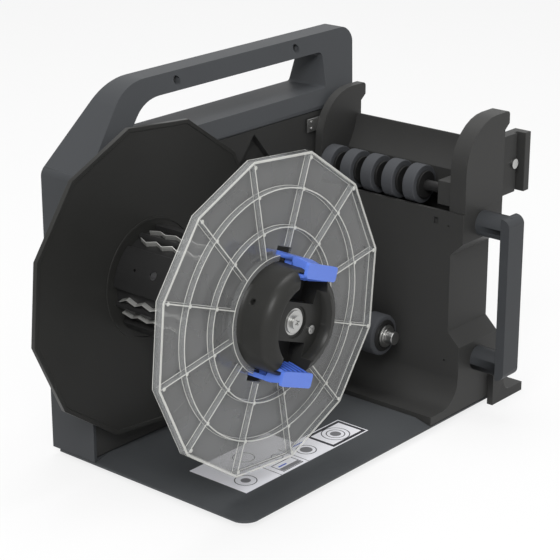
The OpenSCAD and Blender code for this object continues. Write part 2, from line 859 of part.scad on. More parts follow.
module tower_shell() {
    flare_x = tower_left - flare_reach;
    flare_z = housing_z + flare_edge_h;
    profile = concat(
        [[flare_x, housing_z], [tower_right, housing_z], [tower_right, tower_top], [tower_left, tower_top]],
        arc([tower_left - flare_r, flare_z + flare_r], flare_r, 0, -90, 12),
        [[flare_x, flare_z]]
    );
    color("#38383a") place() difference() {
        along_y(profile, -base_front, 0);
        // hollow, open at the top and towards the printer side
        block(
            [tower_left + tower_wall, tower_cavity_y0, tower_floor_z],
            [tower_right + 1, tower_cavity_y1, tower_top + 1]
        );
        // finger recess behind the carry handle
        along_x(
            [[-base_front - 1, recess_z0], [-base_front, recess_z0],
             [-base_front + recess_depth, recess_z0 + recess_slope],
             [-base_front + recess_depth, recess_z1 - recess_slope],
             [-base_front, recess_z1], [-base_front - 1, recess_z1]],
            tower_left - 1, tower_right + 1
        );
        for (z = [lower_post_z, upper_post_z])
            rod(post_x, z, handle_screw_r + run_fit, -base_front - 1, tower_cavity_y0 + 1);
        translate([tower_right + 1, bracket_screw_y, bracket_screw_z]) rotate([0, -90, 0])
            cylinder(r = screw_r + run_fit, h = bracket_screw_l + 1);
        // slot and pin holes in the inner side panel
        block(
            [tower_left - 1, -base_front + 22, tower_top - 10.5],
            [tower_left + tower_wall - 1, -base_front + 26, tower_top - 5.5]
        );
        for (z = [lower_post_z + 1.3, tower_top - 10.5])
            translate([tower_left - 1, -base_front + 13, z]) rotate([0, 90, 0]) cylinder(r = 1, h = 3.5);
    }
}

module tower_cover() {
    color("#3c3c3e") place() block(
        [tower_right - tower_wall, tower_cavity_y0 + seat_gap, tower_floor_z],
        [tower_right, tower_cavity_y1 - seat_gap, tower_top]
    );
}

module locating_bracket() {
    leg_x = tower_right + bracket_leg_t;
    profile = concat(
        [[tower_right, 0], [tower_right + tongue_reach, 0], [tower_right + tongue_reach, tongue_t]],
        arc([leg_x + bracket_fillet, tongue_t + bracket_fillet], bracket_fillet, -90, -180, 8),
        [[leg_x, bracket_h], [tower_right, bracket_h]]
    );
    color("#38383a") place() difference() {
        union() {
            along_y(profile, -base_front - bracket_t, -base_front + tongue_depth);
            block(
                [tower_right - bracket_wrap, -base_front - bracket_t, 0],
                [tower_right + eps, -base_front, bracket_h]
            );
        }
        translate([leg_x + 1, bracket_screw_y, bracket_screw_z]) rotate([0, -90, 0])
            cylinder(r = screw_r + run_fit, h = 7);
    }
}

module bracket_screw() {
    leg_x = tower_right + bracket_leg_t;
    color("silver") place() translate([leg_x, bracket_screw_y, bracket_screw_z]) rotate([0, -90, 0]) {
        translate([0, 0, -screw_head_t]) cylinder(r = screw_head_r, h = screw_head_t);
        cylinder(r = screw_r, h = bracket_screw_l);
    }
}

module carry_handle() {
    grip_pts = rounded(
        [[grip_y, lower_post_z - grip_over], [handle_y, lower_post_z - grip_over],
         [handle_y, upper_post_z + grip_over], [grip_y, upper_post_z + grip_over]],
        [grip_r, 0, 0, grip_r]
    );
    color("#4c4e51") place() difference() {
        union() {
            along_x(grip_pts, post_x - grip_w / 2, post_x + grip_w / 2);
            for (z = [lower_post_z, upper_post_z])
                rod(post_x, z, post_r, handle_y - grip_t / 2, -base_front);
        }
        for (z = [lower_post_z, upper_post_z])
            rod(post_x, z, handle_screw_r + run_fit, tower_cavity_y0 - handle_screw_l - 1, -base_front + 1);
    }
}

module handle_screws() {
    color("silver") place() for (z = [lower_post_z, upper_post_z])
        screw(post_x, z, handle_screw_r, handle_screw_l, 2 * handle_screw_r, handle_screw_head_t,
              tower_cavity_y0, 1);
}

module front_fin() {
    color("#2e2e2e") place() along_y(fin_pts, front_fin_y0, front_fin_y1);
}

module rear_fin() {
    color("#2e2e2e") place() difference() {
        along_y(fin_pts, rear_fin_y0, rear_fin_y1);
        rod(roller_axis_x, roller_axis_z, bush_r + run_fit, rear_fin_y0 - 1, rear_fin_y1 + 1);
    }
}

module guide_plate() {
    centre = [guide_cx, guide_cz];
    skirt_x = guide_cx + (guide_r + guide_t) * cos(guide_end);
    profile = concat(
        arc(centre, guide_r, guide_end, guide_start, 12),
        arc(centre, guide_r + guide_t, guide_start, guide_end, 12),
        [[skirt_x, tower_top], [skirt_x - guide_t, tower_top]]
    );
    color("#333333") place() difference() {
        along_y(profile, front_fin_y1, rear_fin_y0);
        // room for the printer hook's leg
        block(
            [tower_right - hook_leg_w - seat_gap, front_fin_y1 - 1, tower_top - 1],
            [tower_right, hook_back_y + seat_gap, tower_top + hook_leg_h + seat_gap]
        );
    }
}

module printer_hook() {
    lip_x = hook_right - lip_w;
    z1 = hook_z0 + hook_plate_h;
    color("#38383a") place() difference() {
        union() {
            block([tower_right, hook_front_y, hook_z0], [lip_x + eps, hook_back_y, z1]);
            block([lip_x, hook_front_y - lip_reach, hook_z0], [hook_right, hook_back_y, z1]);
            block(
                [tower_right - hook_leg_w, front_fin_y1, tower_top],
                [tower_right + eps, hook_back_y, tower_top + hook_leg_h]
            );
        }
        block(
            [lip_x - hook_groove_w, hook_front_y - 1, hook_z0 - 1],
            [lip_x, hook_front_y + hook_groove_d, z1 + 1]
        );
        rod(tower_right + 0.62 * hook_w, hook_z0 + hook_plate_h / 2, handle_screw_r + run_fit,
            hook_front_y - 1, hook_back_y + 1);
    }
}

module hook_screw() {
    color("silver") place()
        screw(tower_right + 0.62 * hook_w, hook_z0 + hook_plate_h / 2, handle_screw_r,
              hook_back_y - hook_front_y, hook_head_r, hook_head_t, hook_front_y, -1);
}

module latch_plate() {
    left = fin_left - 9;
    plate_z = tower_top + 38;
    plate_h = 10;
    plate_w = 24;
    color("silver") place() difference() {
        block([left, rear_fin_y1, plate_z], [left + plate_w, rear_fin_y1 + 1.2, plate_z + plate_h]);
        for (z = [2.5, plate_h - 2.5])
            rod(left + 5, plate_z + z, 1.2, rear_fin_y1 - 1, 0);
    }
}

module latch_pins() {
    left = fin_left - 9;
    plate_z = tower_top + 38;
    color("#303030") place() for (z = [2.5, 7.5])
        rod(left + 5, plate_z + z, 1.2 - run_fit, rear_fin_y1 - 0.6, rear_fin_y1 + 1.2);
}

module roller_bracket() {
    w = bush_r + 3;
    color("#333335") place() difference() {
        block(
            [roller_axis_x - w, front_fin_y1, roller_axis_z - w],
            [roller_axis_x + w, roller_bracket_y, roller_axis_z + w]
        );
        rod(roller_axis_x, roller_axis_z, bush_r + run_fit, front_fin_y1 - 1, roller_bracket_y + 1);
    }
}

module roller_bushes() {
    color("#5a5a5a") place() {
        ring(roller_axis_x, roller_axis_z, bush_r, roller_shaft_r + run_fit,
             front_fin_y1 + 2, roller_bracket_y);
        ring(roller_axis_x, roller_axis_z, bush_r, roller_shaft_r + run_fit, rear_fin_y0, rear_fin_y1);
    }
}

module roller_shaft() {
    color("#2a2a2a") place()
        rod(roller_axis_x, roller_axis_z, roller_shaft_r, front_fin_y1 + 3, rear_fin_y1 - 1);
}

module roller_hubs() {
    color("#242424") place() for (i = [0:roller_count - 1])
        let (y = first_roller_y - i * roller_pitch, back = min(roller_hub_w / 2, rear_fin_y0 - 0.5 - y))
        ring(roller_axis_x, roller_axis_z, roller_hub_r, roller_shaft_r + eps,
             y - roller_hub_w / 2, y + back);
}

module roller_tyres() {
    color("#55585f") place() for (i = [0:roller_count - 1])
        let (y = first_roller_y - i * roller_pitch)
        ring(roller_axis_x, roller_axis_z, roller_r, roller_hub_r + eps,
             y - roller_w / 2, y + roller_w / 2);
}

module lower_roller_mount() {
    color("#2a2a2a") place() difference() {
        union() {
            rod(lower_x, lower_z, lower_mount_r, -lower_mount_l, lower_inner_y);
            rod(lower_x, lower_z, lower_mount_r + lower_flange_w, cover_back, lower_inner_y);
        }
        rod(lower_x, lower_z, lower_shaft_r + eps, -lower_mount_l - 1, lower_inner_y + 1);
    }
}

module lower_roller_shaft() {
    color("silver") place() difference() {
        rod(lower_x, lower_z, lower_shaft_r, lower_end_y, lower_inner_y);
        ring(lower_x, lower_z, lower_shaft_r + 1, lower_shaft_r - lower_groove,
             lower_clip_y - lower_clip_t - eps, lower_clip_y + eps);
    }
}

module lower_roller_core() {
    color("#242424") place()
        ring(lower_x, lower_z, lower_core_r, lower_shaft_r + run_fit, lower_front_y, lower_back_y);
}

module lower_roller_tyre() {
    color("#55585f") place()
        ring(lower_x, lower_z, lower_r, lower_core_r + eps, lower_back_y - 1 - lower_l, lower_back_y - 1);
}

module lower_roller_washer() {
    color("#c8c8c8") place()
        ring(lower_x, lower_z, lower_washer_r, lower_shaft_r + seat_gap,
             lower_front_y - 0.3 - lower_washer_t, lower_front_y - 0.3);
}

module lower_roller_clip() {
    color("#606060") place() difference() {
        ring(lower_x, lower_z, lower_shaft_r + 1.5, lower_shaft_r - lower_groove + eps,
             lower_clip_y - lower_clip_t, lower_clip_y);
        block([lower_x - 1.5, lower_clip_y - 5, lower_z - far], [lower_x + 1.5, lower_clip_y + 5, lower_z]);
    }
}

module gear_frame() {
    plates = [[frame_front_y, frame_plate_t], [frame_rear_y, frame_plate_t]];
    post_zs = [cavity_z0 + 12, cavity_z1 - 12];
    color("#9a9a9a") place() difference() {
        union() {
            for (p = plates)
                block([frame_x0, p[0], cavity_z0], [frame_x1, p[0] + p[1], cavity_z1]);
            rod(0, spindle_z, bearing_boss_r, front_bearing_y, front_bearing_y + bearing_w);
            rod(0, spindle_z, bearing_boss_r, rear_bearing_y, rear_bearing_y + bearing_w);
            for (x = [frame_x0 + 6, frame_x1 - 6], z = post_zs)
                rod(x, z, frame_post_r, frame_front_y, frame_rear_y + eps);
        }
        rod(0, spindle_z, bearing_r + eps, front_bearing_y - 1, rear_bearing_y + bearing_w + 1);
        rod(motor_x, motor_z, motor_pilot_r + seat_gap, frame_rear_y - 1, motor_y0 + 1);
        for (x = [-1, 1], z = [-1, 1])
            rod(motor_x + x * motor_screw_off, motor_z + z * motor_screw_off, screw_r + run_fit,
                frame_rear_y - 1, motor_y0 + 1);
    }
}

module spindle_bearings() {
    color("#b5b5b5") place() for (y = [front_bearing_y, rear_bearing_y])
        ring(0, spindle_z, bearing_r, spindle_r + run_fit, y, y + bearing_w);
}

module spindle_shaft() {
    color("silver") place() difference() {
        rod(0, spindle_z, spindle_r, shaft_end_y, shaft_back_y);
        rod(0, spindle_z, screw_r + run_fit, shaft_end_y - 1, shaft_end_y + 12);
    }
}

module drive_gear() {
    color("#d8d4c4") place() difference() {
        on_spindle(-motor_angle) along_y(gear_outline(gear_teeth), gear_y0, gear_y0 + gear_w);
        rod(0, spindle_z, spindle_r + seat_fit, gear_y0 - 1, gear_y0 + gear_w + 1);
    }
}

module end_washer() {
    color("#c8c8c8") place()
        ring(0, spindle_z, washer_r, screw_r + run_fit, shaft_end_y - washer_t, shaft_end_y);
}

module end_screw() {
    color("silver") place() difference() {
        screw(0, spindle_z, screw_r, 11, 4.5, 2, shaft_end_y - washer_t, -1);
        on_spindle(20) for (a = [0, 90])
            rotate([0, a, 0]) translate([-2.2, shaft_end_y - washer_t - 3, -0.5]) cube([4.4, 2, 1]);
    }
}

module inner_flange() {
    color("#2b2a29") place() difference() {
        union() {
            flange_plate(inner_flange_r, -inner_flange_y, flange_back_y);
            rod(0, spindle_z, spindle_collar_r, -inner_flange_y, flange_back_y + 4);
        }
        difference() {
            flange_plate(inner_flange_r - 3, -inner_flange_y - 1, -inner_flange_y + 0.6);
            rod(0, spindle_z, core_r + land_out, -inner_flange_y - 2, -inner_flange_y + 1);
        }
        rod(0, spindle_z, core_r + land_in, -inner_flange_y - 1, -inner_flange_y + 0.8);
        rod(0, spindle_z, spindle_r + seat_fit, -inner_flange_y - 1, 0);
    }
}

module drum() {
    y1 = -inner_flange_y + 0.8;
    color("#262626") place() difference() {
        union() {
            ring(0, spindle_z, drum_r - shoe_gap, drum_r - drum_t, drum_y0, y1);
            rod(0, spindle_z, drum_r - 1, drum_y0 + 4, drum_y0 + 8);
            rod(0, spindle_z, drum_r - 1, y1 - 4, y1);
            for (i = [0:shoe_count - 1])
                on_spindle(shoe_phase + (i + 0.5) * 360 / shoe_count)
                    rod(drum_r - shoe_gap, 0, 2.6, drum_y0, y1);
        }
        rod(0, spindle_z, spindle_r + seat_fit, drum_y0 - 1, y1 + 1);
        for (i = [0:shoe_count - 1])
            on_spindle(shoe_phase + i * 360 / shoe_count) translate([0, drum_y0 + drum_l / 2, 0])
                rotate([0, 90, 0]) cylinder(r = screw_r + run_fit, h = core_r);
    }
}

// Sector of the space around the spindle, centred on the X direction
module sector(angle, y0, y1) {
    edge = far * [cos(angle / 2), sin(angle / 2)];
    along_y([[0, 0], [edge[0], -edge[1]], [far, 0], edge], y0, y1);
}

module drum_shoes() {
    y0 = drum_y0 + 1;
    y1 = -inner_flange_y - 0.2;
    color("#2c2c2c") place() for (i = [0:shoe_count - 1])
        on_spindle(shoe_phase + i * 360 / shoe_count) difference() {
            intersection() {
                ring(0, 0, core_r, drum_r, y0, y1);
                sector(shoe_angle, y0, y1);
            }
            translate([0, drum_y0 + drum_l / 2, 0]) rotate([0, 90, 0]) {
                cylinder(r = screw_r + run_fit, h = core_r + 1);
                translate([0, 0, core_r - 2.4]) cylinder(r = screw_head_r + seat_gap, h = 4);
            }
            translate([0, drum_y0 + drum_l / 2 + 17, 0]) rotate([0, 90, 0]) cylinder(r = 1.1, h = core_r + 1);
        }
}

module shoe_screws() {
    color("silver") place() for (i = [0:shoe_count - 1])
        on_spindle(shoe_phase + i * 360 / shoe_count) translate([0, drum_y0 + drum_l / 2, 0])
            rotate([0, 90, 0]) {
                translate([0, 0, core_r - 2.4]) cylinder(r = screw_head_r, h = screw_head_t);
                translate([0, 0, drum_r - 3]) cylinder(r = screw_r, h = core_r - 2.4 - drum_r + 3 + eps);
            }
}

module shoe_springs() {
    y0 = drum_y0 + 4;
    step = (drum_l - 8) / (2 * spring_waves);
    offset_t = 5.7;
    wave = [for (i = [0:2 * spring_waves]) [y0 + i * step, offset_t + (i % 2 == 0 ? -1.4 : 1.4)]];
    strip = concat(wave, [for (i = [2 * spring_waves:-1:0]) wave[i] + [0, spring_t]]);
    color("#d8d8d4") place() for (i = [0:shoe_count - 1], side = [0, 1])
        on_spindle(shoe_phase + (i + 0.5) * 360 / shoe_count) mirror([0, 0, side]) intersection() {
            ring(0, 0, core_r - 0.8, drum_r, drum_y0, -inner_flange_y);
            along_x(strip, drum_r / 2, core_r);
        }
}

module outer_flange() {
    apothem_trim = rim_t / cos(180 / flange_sides);
    color("#d8dde0", 0.35) place() difference() {
        union() {
            flange_plate(flange_r, flange_back - web_t, flange_back);
            difference() {
                flange_plate(flange_r, -flange_y, flange_back);
                flange_plate(flange_r - apothem_trim, -flange_y - 1, flange_back + 1);
            }
            for (r = [ring_in_r, ring_out_r])
                ring(0, spindle_z, r + rib_t / 2, r - rib_t / 2, -flange_y, flange_back - web_t + eps);
            rod(0, spindle_z, hub_r + 4, -flange_y, flange_back - web_t + eps);
            for (i = [0:flange_sides - 1])
                on_spindle(flange_phase + i * 360 / flange_sides) {
                    translate([hub_r + 1, -flange_y, -rib_t / 2])
                        cube([flange_r - rim_t - hub_r - 1, rim_d - web_t + eps, rib_t]);
                    for (r = [ring_in_r, ring_out_r])
                        rod(r, 0, rib_boss_r, -flange_y - 0.6, flange_back - web_t + eps);
                }
        }
        rod(0, spindle_z, hub_r + seat_gap, -flange_y - 1, flange_back + 1);
        for (a = lever_angles)
            on_spindle(a)
                block([hub_r - 2, -flange_y - 2, -slot_half_w], [slot_out_r, flange_back + 1, slot_half_w]);
    }
}

module hub() {
    slot_y1 = pivot_y + ear_r + 3;
    color("#1e1e1e") place() difference() {
        union() {
            on_spindle() rotate([90, 0, 0]) rotate_extrude()
                polygon(concat(
                    [[0, -hub_back_y], [hub_collar_r, -hub_back_y],
                     [hub_collar_r, -flange_back], [hub_r, -flange_back]],
                    arc([hub_r - hub_rim_r, -hub_front_y - hub_rim_r], hub_rim_r, 0, 90, 8),
                    [[0, -hub_front_y]]
                ));
        }
        rod(0, spindle_z, cup_r, hub_front_y - 1, cup_floor_y);
        rod(0, spindle_z, spindle_r + run_fit, hub_front_y - 1, hub_back_y + 1);
        ring(0, spindle_z, hub_r - 9, spindle_r + 6, flange_back - 9, hub_back_y + 1);
        // clearance ring around the spindle's end
        rod(0, spindle_z, spindle_r + 2, cup_floor_y - 1, cup_floor_y + 1.2);
        for (a = lever_angles)
            on_spindle(a) {
                block(
                    [pocket_floor_r, hub_front_y - 1, -pad_w / 2 - pocket_gap],
                    [pad_out_r + move_gap, paddle_back_y + 3, pad_w / 2 + pocket_gap]
                );
                block(
                    [pocket_floor_r, hub_front_y - 1, -neck_w / 2 - move_gap],
                    [hub_r + 1, paddle_back_y + 3, neck_w / 2 + move_gap]
                );
                block([hub_r - 7, paddle_back_y - 1, -ear_slot], [hub_r + 1, slot_y1, ear_slot]);
                block(
                    [hub_r - 1, slot_y1 - 1, -slot_half_w],
                    [hub_collar_r + 1, hub_back_y + 1, slot_half_w]
                );
                translate([pivot_r, pivot_y, 0])
                    cylinder(r = pin_r + eps, h = pin_l + 2 * eps, center = true);
            }
        on_spindle(-32) rod(17.5, 0, screw_r + run_fit, cup_floor_y - 1, cup_floor_y + 6);
        // small hole in the barrel's side
        on_spindle(146) translate([0, -flange_y - 8, 0]) rotate([0, 90, 0]) translate([0, 0, hub_r - 4])
            cylinder(r = 2.2, h = 8);
    }
}

module hub_screw() {
    color("#c0c8d8") place() difference() {
        on_spindle(-32) screw(17.5, 0, screw_r, 6, screw_head_r, screw_head_t, cup_floor_y, -1);
        on_spindle(-32) translate([17.5, 0, 0]) for (a = [0, 90])
            rotate([0, a + 30, 0]) block([-1.6, cup_floor_y - 2, -0.35], [1.6, cup_floor_y - 0.6, 0.35]);
    }
}

module lever_pins() {
    color("silver") place() for (a = lever_angles)
        on_spindle(a) translate([pivot_r, pivot_y, 0]) cylinder(r = pin_r, h = pin_l, center = true);
}

module lever_springs() {
    color("#b0b0b0") place() for (a = lever_angles)
        on_spindle(a) translate([pivot_r, pivot_y, ear_w / 2 + spring_gap]) difference() {
            cylinder(r = spring_coil_r, h = spring_coil_l);
            translate([0, 0, -1]) cylinder(r = pin_r + 0.1, h = spring_coil_l + 2);
        }
}

// One release lever, lying along the X direction of the spindle's frame
module lever() {
    plate = rounded(
        [[plate_in_r, -paddle_w / 2], [plate_out_r, -paddle_w / 2],
         [plate_out_r, paddle_w / 2], [plate_in_r, paddle_w / 2]],
        [plate_corner_r, plate_corner_r, plate_corner_r, plate_corner_r]
    );
    neck = [
        [pad_out_r - eps, plate_back_y - eps], [plate_out_r - plate_corner_r, plate_back_y - eps],
        [arm_out_r, paddle_back_y - 5], [arm_out_r, paddle_back_y],
        [arm_in_r, paddle_back_y], [pad_out_r - eps, pad_back_y]
    ];
    pad = [
        [plate_in_r, plate_back_y - eps], [pad_out_r, plate_back_y - eps],
        [pad_out_r, pad_back_y], [pad_root_r, pad_back_y]
    ];
    difference() {
        union() {
            along_y(plate, plate_front_y, plate_back_y);
            linear_extrude(neck_w, center = true) polygon(neck);
            linear_extrude(pad_w, center = true) polygon(pad);
            block([arm_in_r, paddle_back_y - eps, -arm_w / 2], [arm_out_r, arm_back_y, arm_w / 2]);
            block([arm_in_r - 2, arm_back_y - 3, -arm_w / 2], [arm_in_r + eps, arm_back_y, arm_w / 2]);
            block([pivot_r, pivot_y - ear_r, -ear_w / 2], [arm_in_r + eps, pivot_y + ear_r, ear_w / 2]);
            translate([pivot_r, pivot_y, 0]) cylinder(r = ear_r, h = ear_w, center = true);
        }
        translate([pivot_r, pivot_y, 0]) cylinder(r = pin_r + run_fit, h = ear_w + 2, center = true);
    }
}

module upper_lever() {
    color("#6482e1") place() on_spindle(lever_angles[0]) lever();
}

module lower_lever() {
    color("#6482e1") place() on_spindle(lever_angles[1]) lever();
}

module motor() {
    color("#3a3a3a") place() difference() {
        union() {
            block(
                [motor_x - motor_w / 2, motor_y0, motor_z - motor_w / 2],
                [motor_x + motor_w / 2, motor_y0 + motor_l, motor_z + motor_w / 2]
            );
            rod(motor_x, motor_z, motor_pilot_r, frame_rear_y, motor_y0 + eps);
        }
        rod(motor_x, motor_z, motor_shaft_r + run_fit, frame_rear_y - 1, motor_y0 + 8);
        for (x = [-1, 1], z = [-1, 1])
            rod(motor_x + x * motor_screw_off, motor_z + z * motor_screw_off, screw_r + run_fit,
                motor_y0 - 1, motor_y0 + 6);
    }
}

module motor_screws() {
    color("silver") place() for (x = [-1, 1], z = [-1, 1])
        screw(motor_x + x * motor_screw_off, motor_z + z * motor_screw_off, screw_r, motor_screw_l,
              screw_head_r, screw_head_t, frame_rear_y, -1);
}

module motor_shaft() {
    color("silver") place() rod(motor_x, motor_z, motor_shaft_r, gear_y0, motor_y0 + 7);
}

module motor_pinion() {
    half_step = 180 / pinion_teeth;
    color("#c8a850") place() difference() {
        translate([motor_x, 0, motor_z]) rotate([0, -(180 - motor_angle + half_step), 0])
            along_y(gear_outline(pinion_teeth), gear_y0, gear_y0 + gear_w);
        rod(motor_x, motor_z, motor_shaft_r + eps, gear_y0 - 1, gear_y0 + gear_w + 1);
    }
}

module control_board() {
    color("#1f5a34") place() difference() {
        union() {
            block([board_x, board_y, board_z], [board_x + board_w, board_y + board_t, board_z + board_h]);
            for (c = board_chips)
                block(
                    [board_x + c[0] * board_w, board_y - c[4] * board_t, board_z + c[1] * board_h],
                    [board_x + c[2] * board_w, board_y + eps, board_z + c[3] * board_h]
                );
        }
        for (x = [board_post_in, board_w - board_post_in], z = [board_post_in, board_h - board_post_in])
            rod(board_x + x, board_z + z, screw_r + run_fit, board_y - 1, board_y + board_t + 1);
    }
}

module board_screws() {
    color("silver") place()
        for (x = [board_post_in, board_w - board_post_in], z = [board_post_in, board_h - board_post_in])
            screw(board_x + x, board_z + z, screw_r, board_screw_l, screw_head_r, screw_head_t, board_y, -1);
}

module power_inlet() {
    face_y = rear_cover_y + cover_t;
    color("#151515") place() difference() {
        union() {
            block(
                [inlet_x - inlet_w / 2, face_y - inlet_l, inlet_z - inlet_h / 2],
                [inlet_x + inlet_w / 2, face_y, inlet_z + inlet_h / 2]
            );
            block(
                [inlet_x - inlet_w / 2 - 2, face_y - inlet_l, inlet_z - inlet_h / 2 - 2],
                [inlet_x + inlet_w / 2 + 2, rear_cover_y, inlet_z + inlet_h / 2 + 2]
            );
        }
        rod(inlet_x, inlet_z, inlet_r, face_y - 9, face_y + 1);
    }
}

module switch_case() {
    face_y = rear_cover_y + cover_t;
    out_w = rocker_w / 2 + switch_wall + move_gap;
    out_h = rocker_h / 2 + switch_wall + move_gap;
    color("#151515") place() difference() {
        union() {
            block(
                [switch_x - out_w, face_y - switch_l, switch_z - out_h],
                [switch_x + out_w, face_y, switch_z + out_h]
            );
            block(
                [switch_x - out_w - 1.5, rear_cover_y - 2, switch_z - out_h - 1.5],
                [switch_x + out_w + 1.5, rear_cover_y, switch_z + out_h + 1.5]
            );
        }
        block(
            [switch_x - out_w + switch_wall, face_y - switch_l + switch_wall, switch_z - out_h + switch_wall],
            [switch_x + out_w - switch_wall, face_y + 1, switch_z + out_h - switch_wall]
        );
        translate([switch_x - out_w - 1, rocker_pivot_y, switch_z]) rotate([0, 90, 0])
            cylinder(r = rocker_pin_r + run_fit, h = 2 * out_w + 2);
    }
}

module switch_rocker() {
    half = rocker_h / 2 - 0.8;
    profile = [[-2, -half + 3], [-2, half - 3], [1, half], [4, half], [2.6, 0], [4, -half], [1, -half]];
    color("#202020") place() translate([switch_x, rocker_pivot_y, switch_z]) rotate([rocker_tilt, 0, 0]) {
        along_x(profile, -rocker_w / 2, rocker_w / 2);
        translate([-rocker_w / 2 - move_gap - switch_wall, 0, 0]) rotate([0, 90, 0])
            cylinder(r = rocker_pin_r, h = rocker_w + 2 * move_gap + 2 * switch_wall);
    }
}

housing_shell();
front_cover();
rear_cover();
cover_screws();
bar_screws();
base_plate();
base_sheet();
feet();
tower_shell();
tower_cover();
locating_bracket();
bracket_screw();
carry_handle();
handle_screws();
front_fin();
rear_fin();
guide_plate();
printer_hook();
hook_screw();
latch_plate();
latch_pins();
roller_bracket();
roller_bushes();
roller_shaft();
roller_hubs();
roller_tyres();
lower_roller_mount();
lower_roller_shaft();
lower_roller_core();
lower_roller_tyre();
lower_roller_washer();
lower_roller_clip();
gear_frame();
spindle_bearings();
spindle_shaft();
drive_gear();
end_washer();
end_screw();
inner_flange();
drum();
drum_shoes();
shoe_springs();
shoe_screws();
outer_flange();
hub();
hub_screw();
lever_pins();
lever_springs();
upper_lever();
lower_lever();
motor();
motor_screws();
motor_shaft();
motor_pinion();
control_board();
board_screws();
power_inlet();
switch_case();
switch_rocker();
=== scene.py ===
# %% [markdown]
# # Dressing a label rewinder
#
# The rewinder winds finished labels onto a core between a black flange and a clear one. Its solids come
# ready made, at their real size, and this lesson gives them soft edges, finishes, light and a camera.
#
# Loading comes first, because every later cell measures the solids instead of repeating their sizes.

# %% Load the solids
import json
from math import asin, cos, pi, radians, sin, tau

import bmesh
import bpy
from mathutils import Matrix, Vector


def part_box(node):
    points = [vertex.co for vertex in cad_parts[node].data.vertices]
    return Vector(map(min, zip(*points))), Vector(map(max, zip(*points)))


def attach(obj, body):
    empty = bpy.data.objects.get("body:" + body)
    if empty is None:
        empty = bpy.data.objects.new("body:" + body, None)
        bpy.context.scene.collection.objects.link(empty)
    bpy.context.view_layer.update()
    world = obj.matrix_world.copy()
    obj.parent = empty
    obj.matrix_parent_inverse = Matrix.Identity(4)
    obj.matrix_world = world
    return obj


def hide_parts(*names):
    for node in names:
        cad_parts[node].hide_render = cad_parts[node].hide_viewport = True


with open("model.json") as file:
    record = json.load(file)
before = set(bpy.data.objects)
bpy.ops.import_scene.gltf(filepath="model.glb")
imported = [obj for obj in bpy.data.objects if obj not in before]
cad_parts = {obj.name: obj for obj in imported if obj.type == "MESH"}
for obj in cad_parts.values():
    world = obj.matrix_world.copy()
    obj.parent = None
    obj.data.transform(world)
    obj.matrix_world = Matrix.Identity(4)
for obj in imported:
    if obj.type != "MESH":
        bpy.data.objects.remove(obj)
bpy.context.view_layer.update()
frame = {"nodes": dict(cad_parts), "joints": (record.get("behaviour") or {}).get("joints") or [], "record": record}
scene = bpy.context.scene
MM = 0.001
bodies = frame["record"]["behaviour"]["bodies"]
body_of = {node: body for body, nodes in bodies.items() for node in nodes}
hinges = [joint for joint in frame["joints"] if joint["type"] == "hinge"]
joint_at = {joint["name"]: Vector(joint["pos_m"]) for joint in hinges}
spindle = joint_at["spindle_spin"]

# %% [markdown]
# ## Camera
#
# The picture is taken from the front left, a little above, with a long lens, so that lines that run away
# from the camera stay nearly parallel. A camera can be aimed by a constraint or by its own rotation. Its own
# rotation is used here, worked out from the angle round the object and the angle above it, so the view can
# be read from the numbers.

# %% Place the camera
VIEW_ROUND = radians(-49.45)
VIEW_ABOVE = radians(20.0)
VIEW_DISTANCE = 1.294
VIEW_CENTRE = Vector((-8.36, 0, 122.93)) * MM
LENS = 118.8

view_line = Vector((
    sin(VIEW_ROUND) * cos(VIEW_ABOVE),
    -cos(VIEW_ROUND) * cos(VIEW_ABOVE),
    sin(VIEW_ABOVE),
))
camera = bpy.data.objects.new("camera", bpy.data.cameras.new("camera"))
camera.data.lens = LENS
camera.location = VIEW_CENTRE + view_line * VIEW_DISTANCE
camera.rotation_euler = (-view_line).to_track_quat("-Z", "Y").to_euler()
scene.collection.objects.link(camera)
scene.camera = camera
print("camera at", [round(value, 3) for value in camera.location])

# %% [markdown]
# ## Shader maths as plain sums
#
# A material is a net of nodes, and each sum in it is a Math node. Wiring those by hand hides the idea, so a
# small class stands for one output socket and adds the Math node when it is used in a sum.


# %% Wires
class Wire:
    """One output socket. A sum on it adds the Math node that works it out."""

    def __init__(self, net, socket):
        self.net = net
        self.socket = socket

    def maths(self, operation, first, second):
        return self.net.node("ShaderNodeMath", {"operation": operation}, {0: first, 1: second})

    def __add__(self, other):
        return self.maths("ADD", self, other)

    def __sub__(self, other):
        return self.maths("SUBTRACT", self, other)

    def __rsub__(self, other):
        return self.maths("SUBTRACT", other, self)

    def __mul__(self, other):
        return self.maths("MULTIPLY", self, other)

    def __lt__(self, other):
        return self.maths("LESS_THAN", self, other)

    def __gt__(self, other):
        return self.maths("GREATER_THAN", self, other)

    def __or__(self, other):
        """The larger of two masks: where either one holds."""
        return self.maths("MAXIMUM", self, other)

    __radd__ = __add__
    __rmul__ = __mul__


print("sums on a", Wire.__name__, "become nodes")

# %% [markdown]
# ## Nets and finishes
#
# Every other node comes from one method: its kind, its settings, and what goes into its sockets. A net holds
# that method for any node tree, the world's too. A finish is a net with a shader and with its place on the
# object, and it adds the few nodes that most materials need.


# %% Nets
class Net:
    """A node tree, with one method that makes any node."""

    def __init__(self, tree):
        self.tree = tree

    def plug(self, socket, value):
        if isinstance(value, Wire):
            self.tree.links.new(value.socket, socket)
        else:
            socket.default_value = value

    def node(self, kind, settings=(), inputs=(), output=0):
        made = self.tree.nodes.new(kind)
        for setting, value in dict(settings).items():
            setattr(made, setting, value)
        for socket, value in dict(inputs).items():
            self.plug(made.inputs[socket], value)
        return Wire(self, made.outputs[output])

    def background_rays(self):
        """1 for the rays that show the background: from the camera, in a mirror and through glass."""
        seen = self.node("ShaderNodeLightPath", output="Is Camera Ray")
        mirrored = self.node("ShaderNodeLightPath", output="Is Glossy Ray")
        through = self.node("ShaderNodeLightPath", output="Is Transmission Ray")
        return seen | mirrored | through


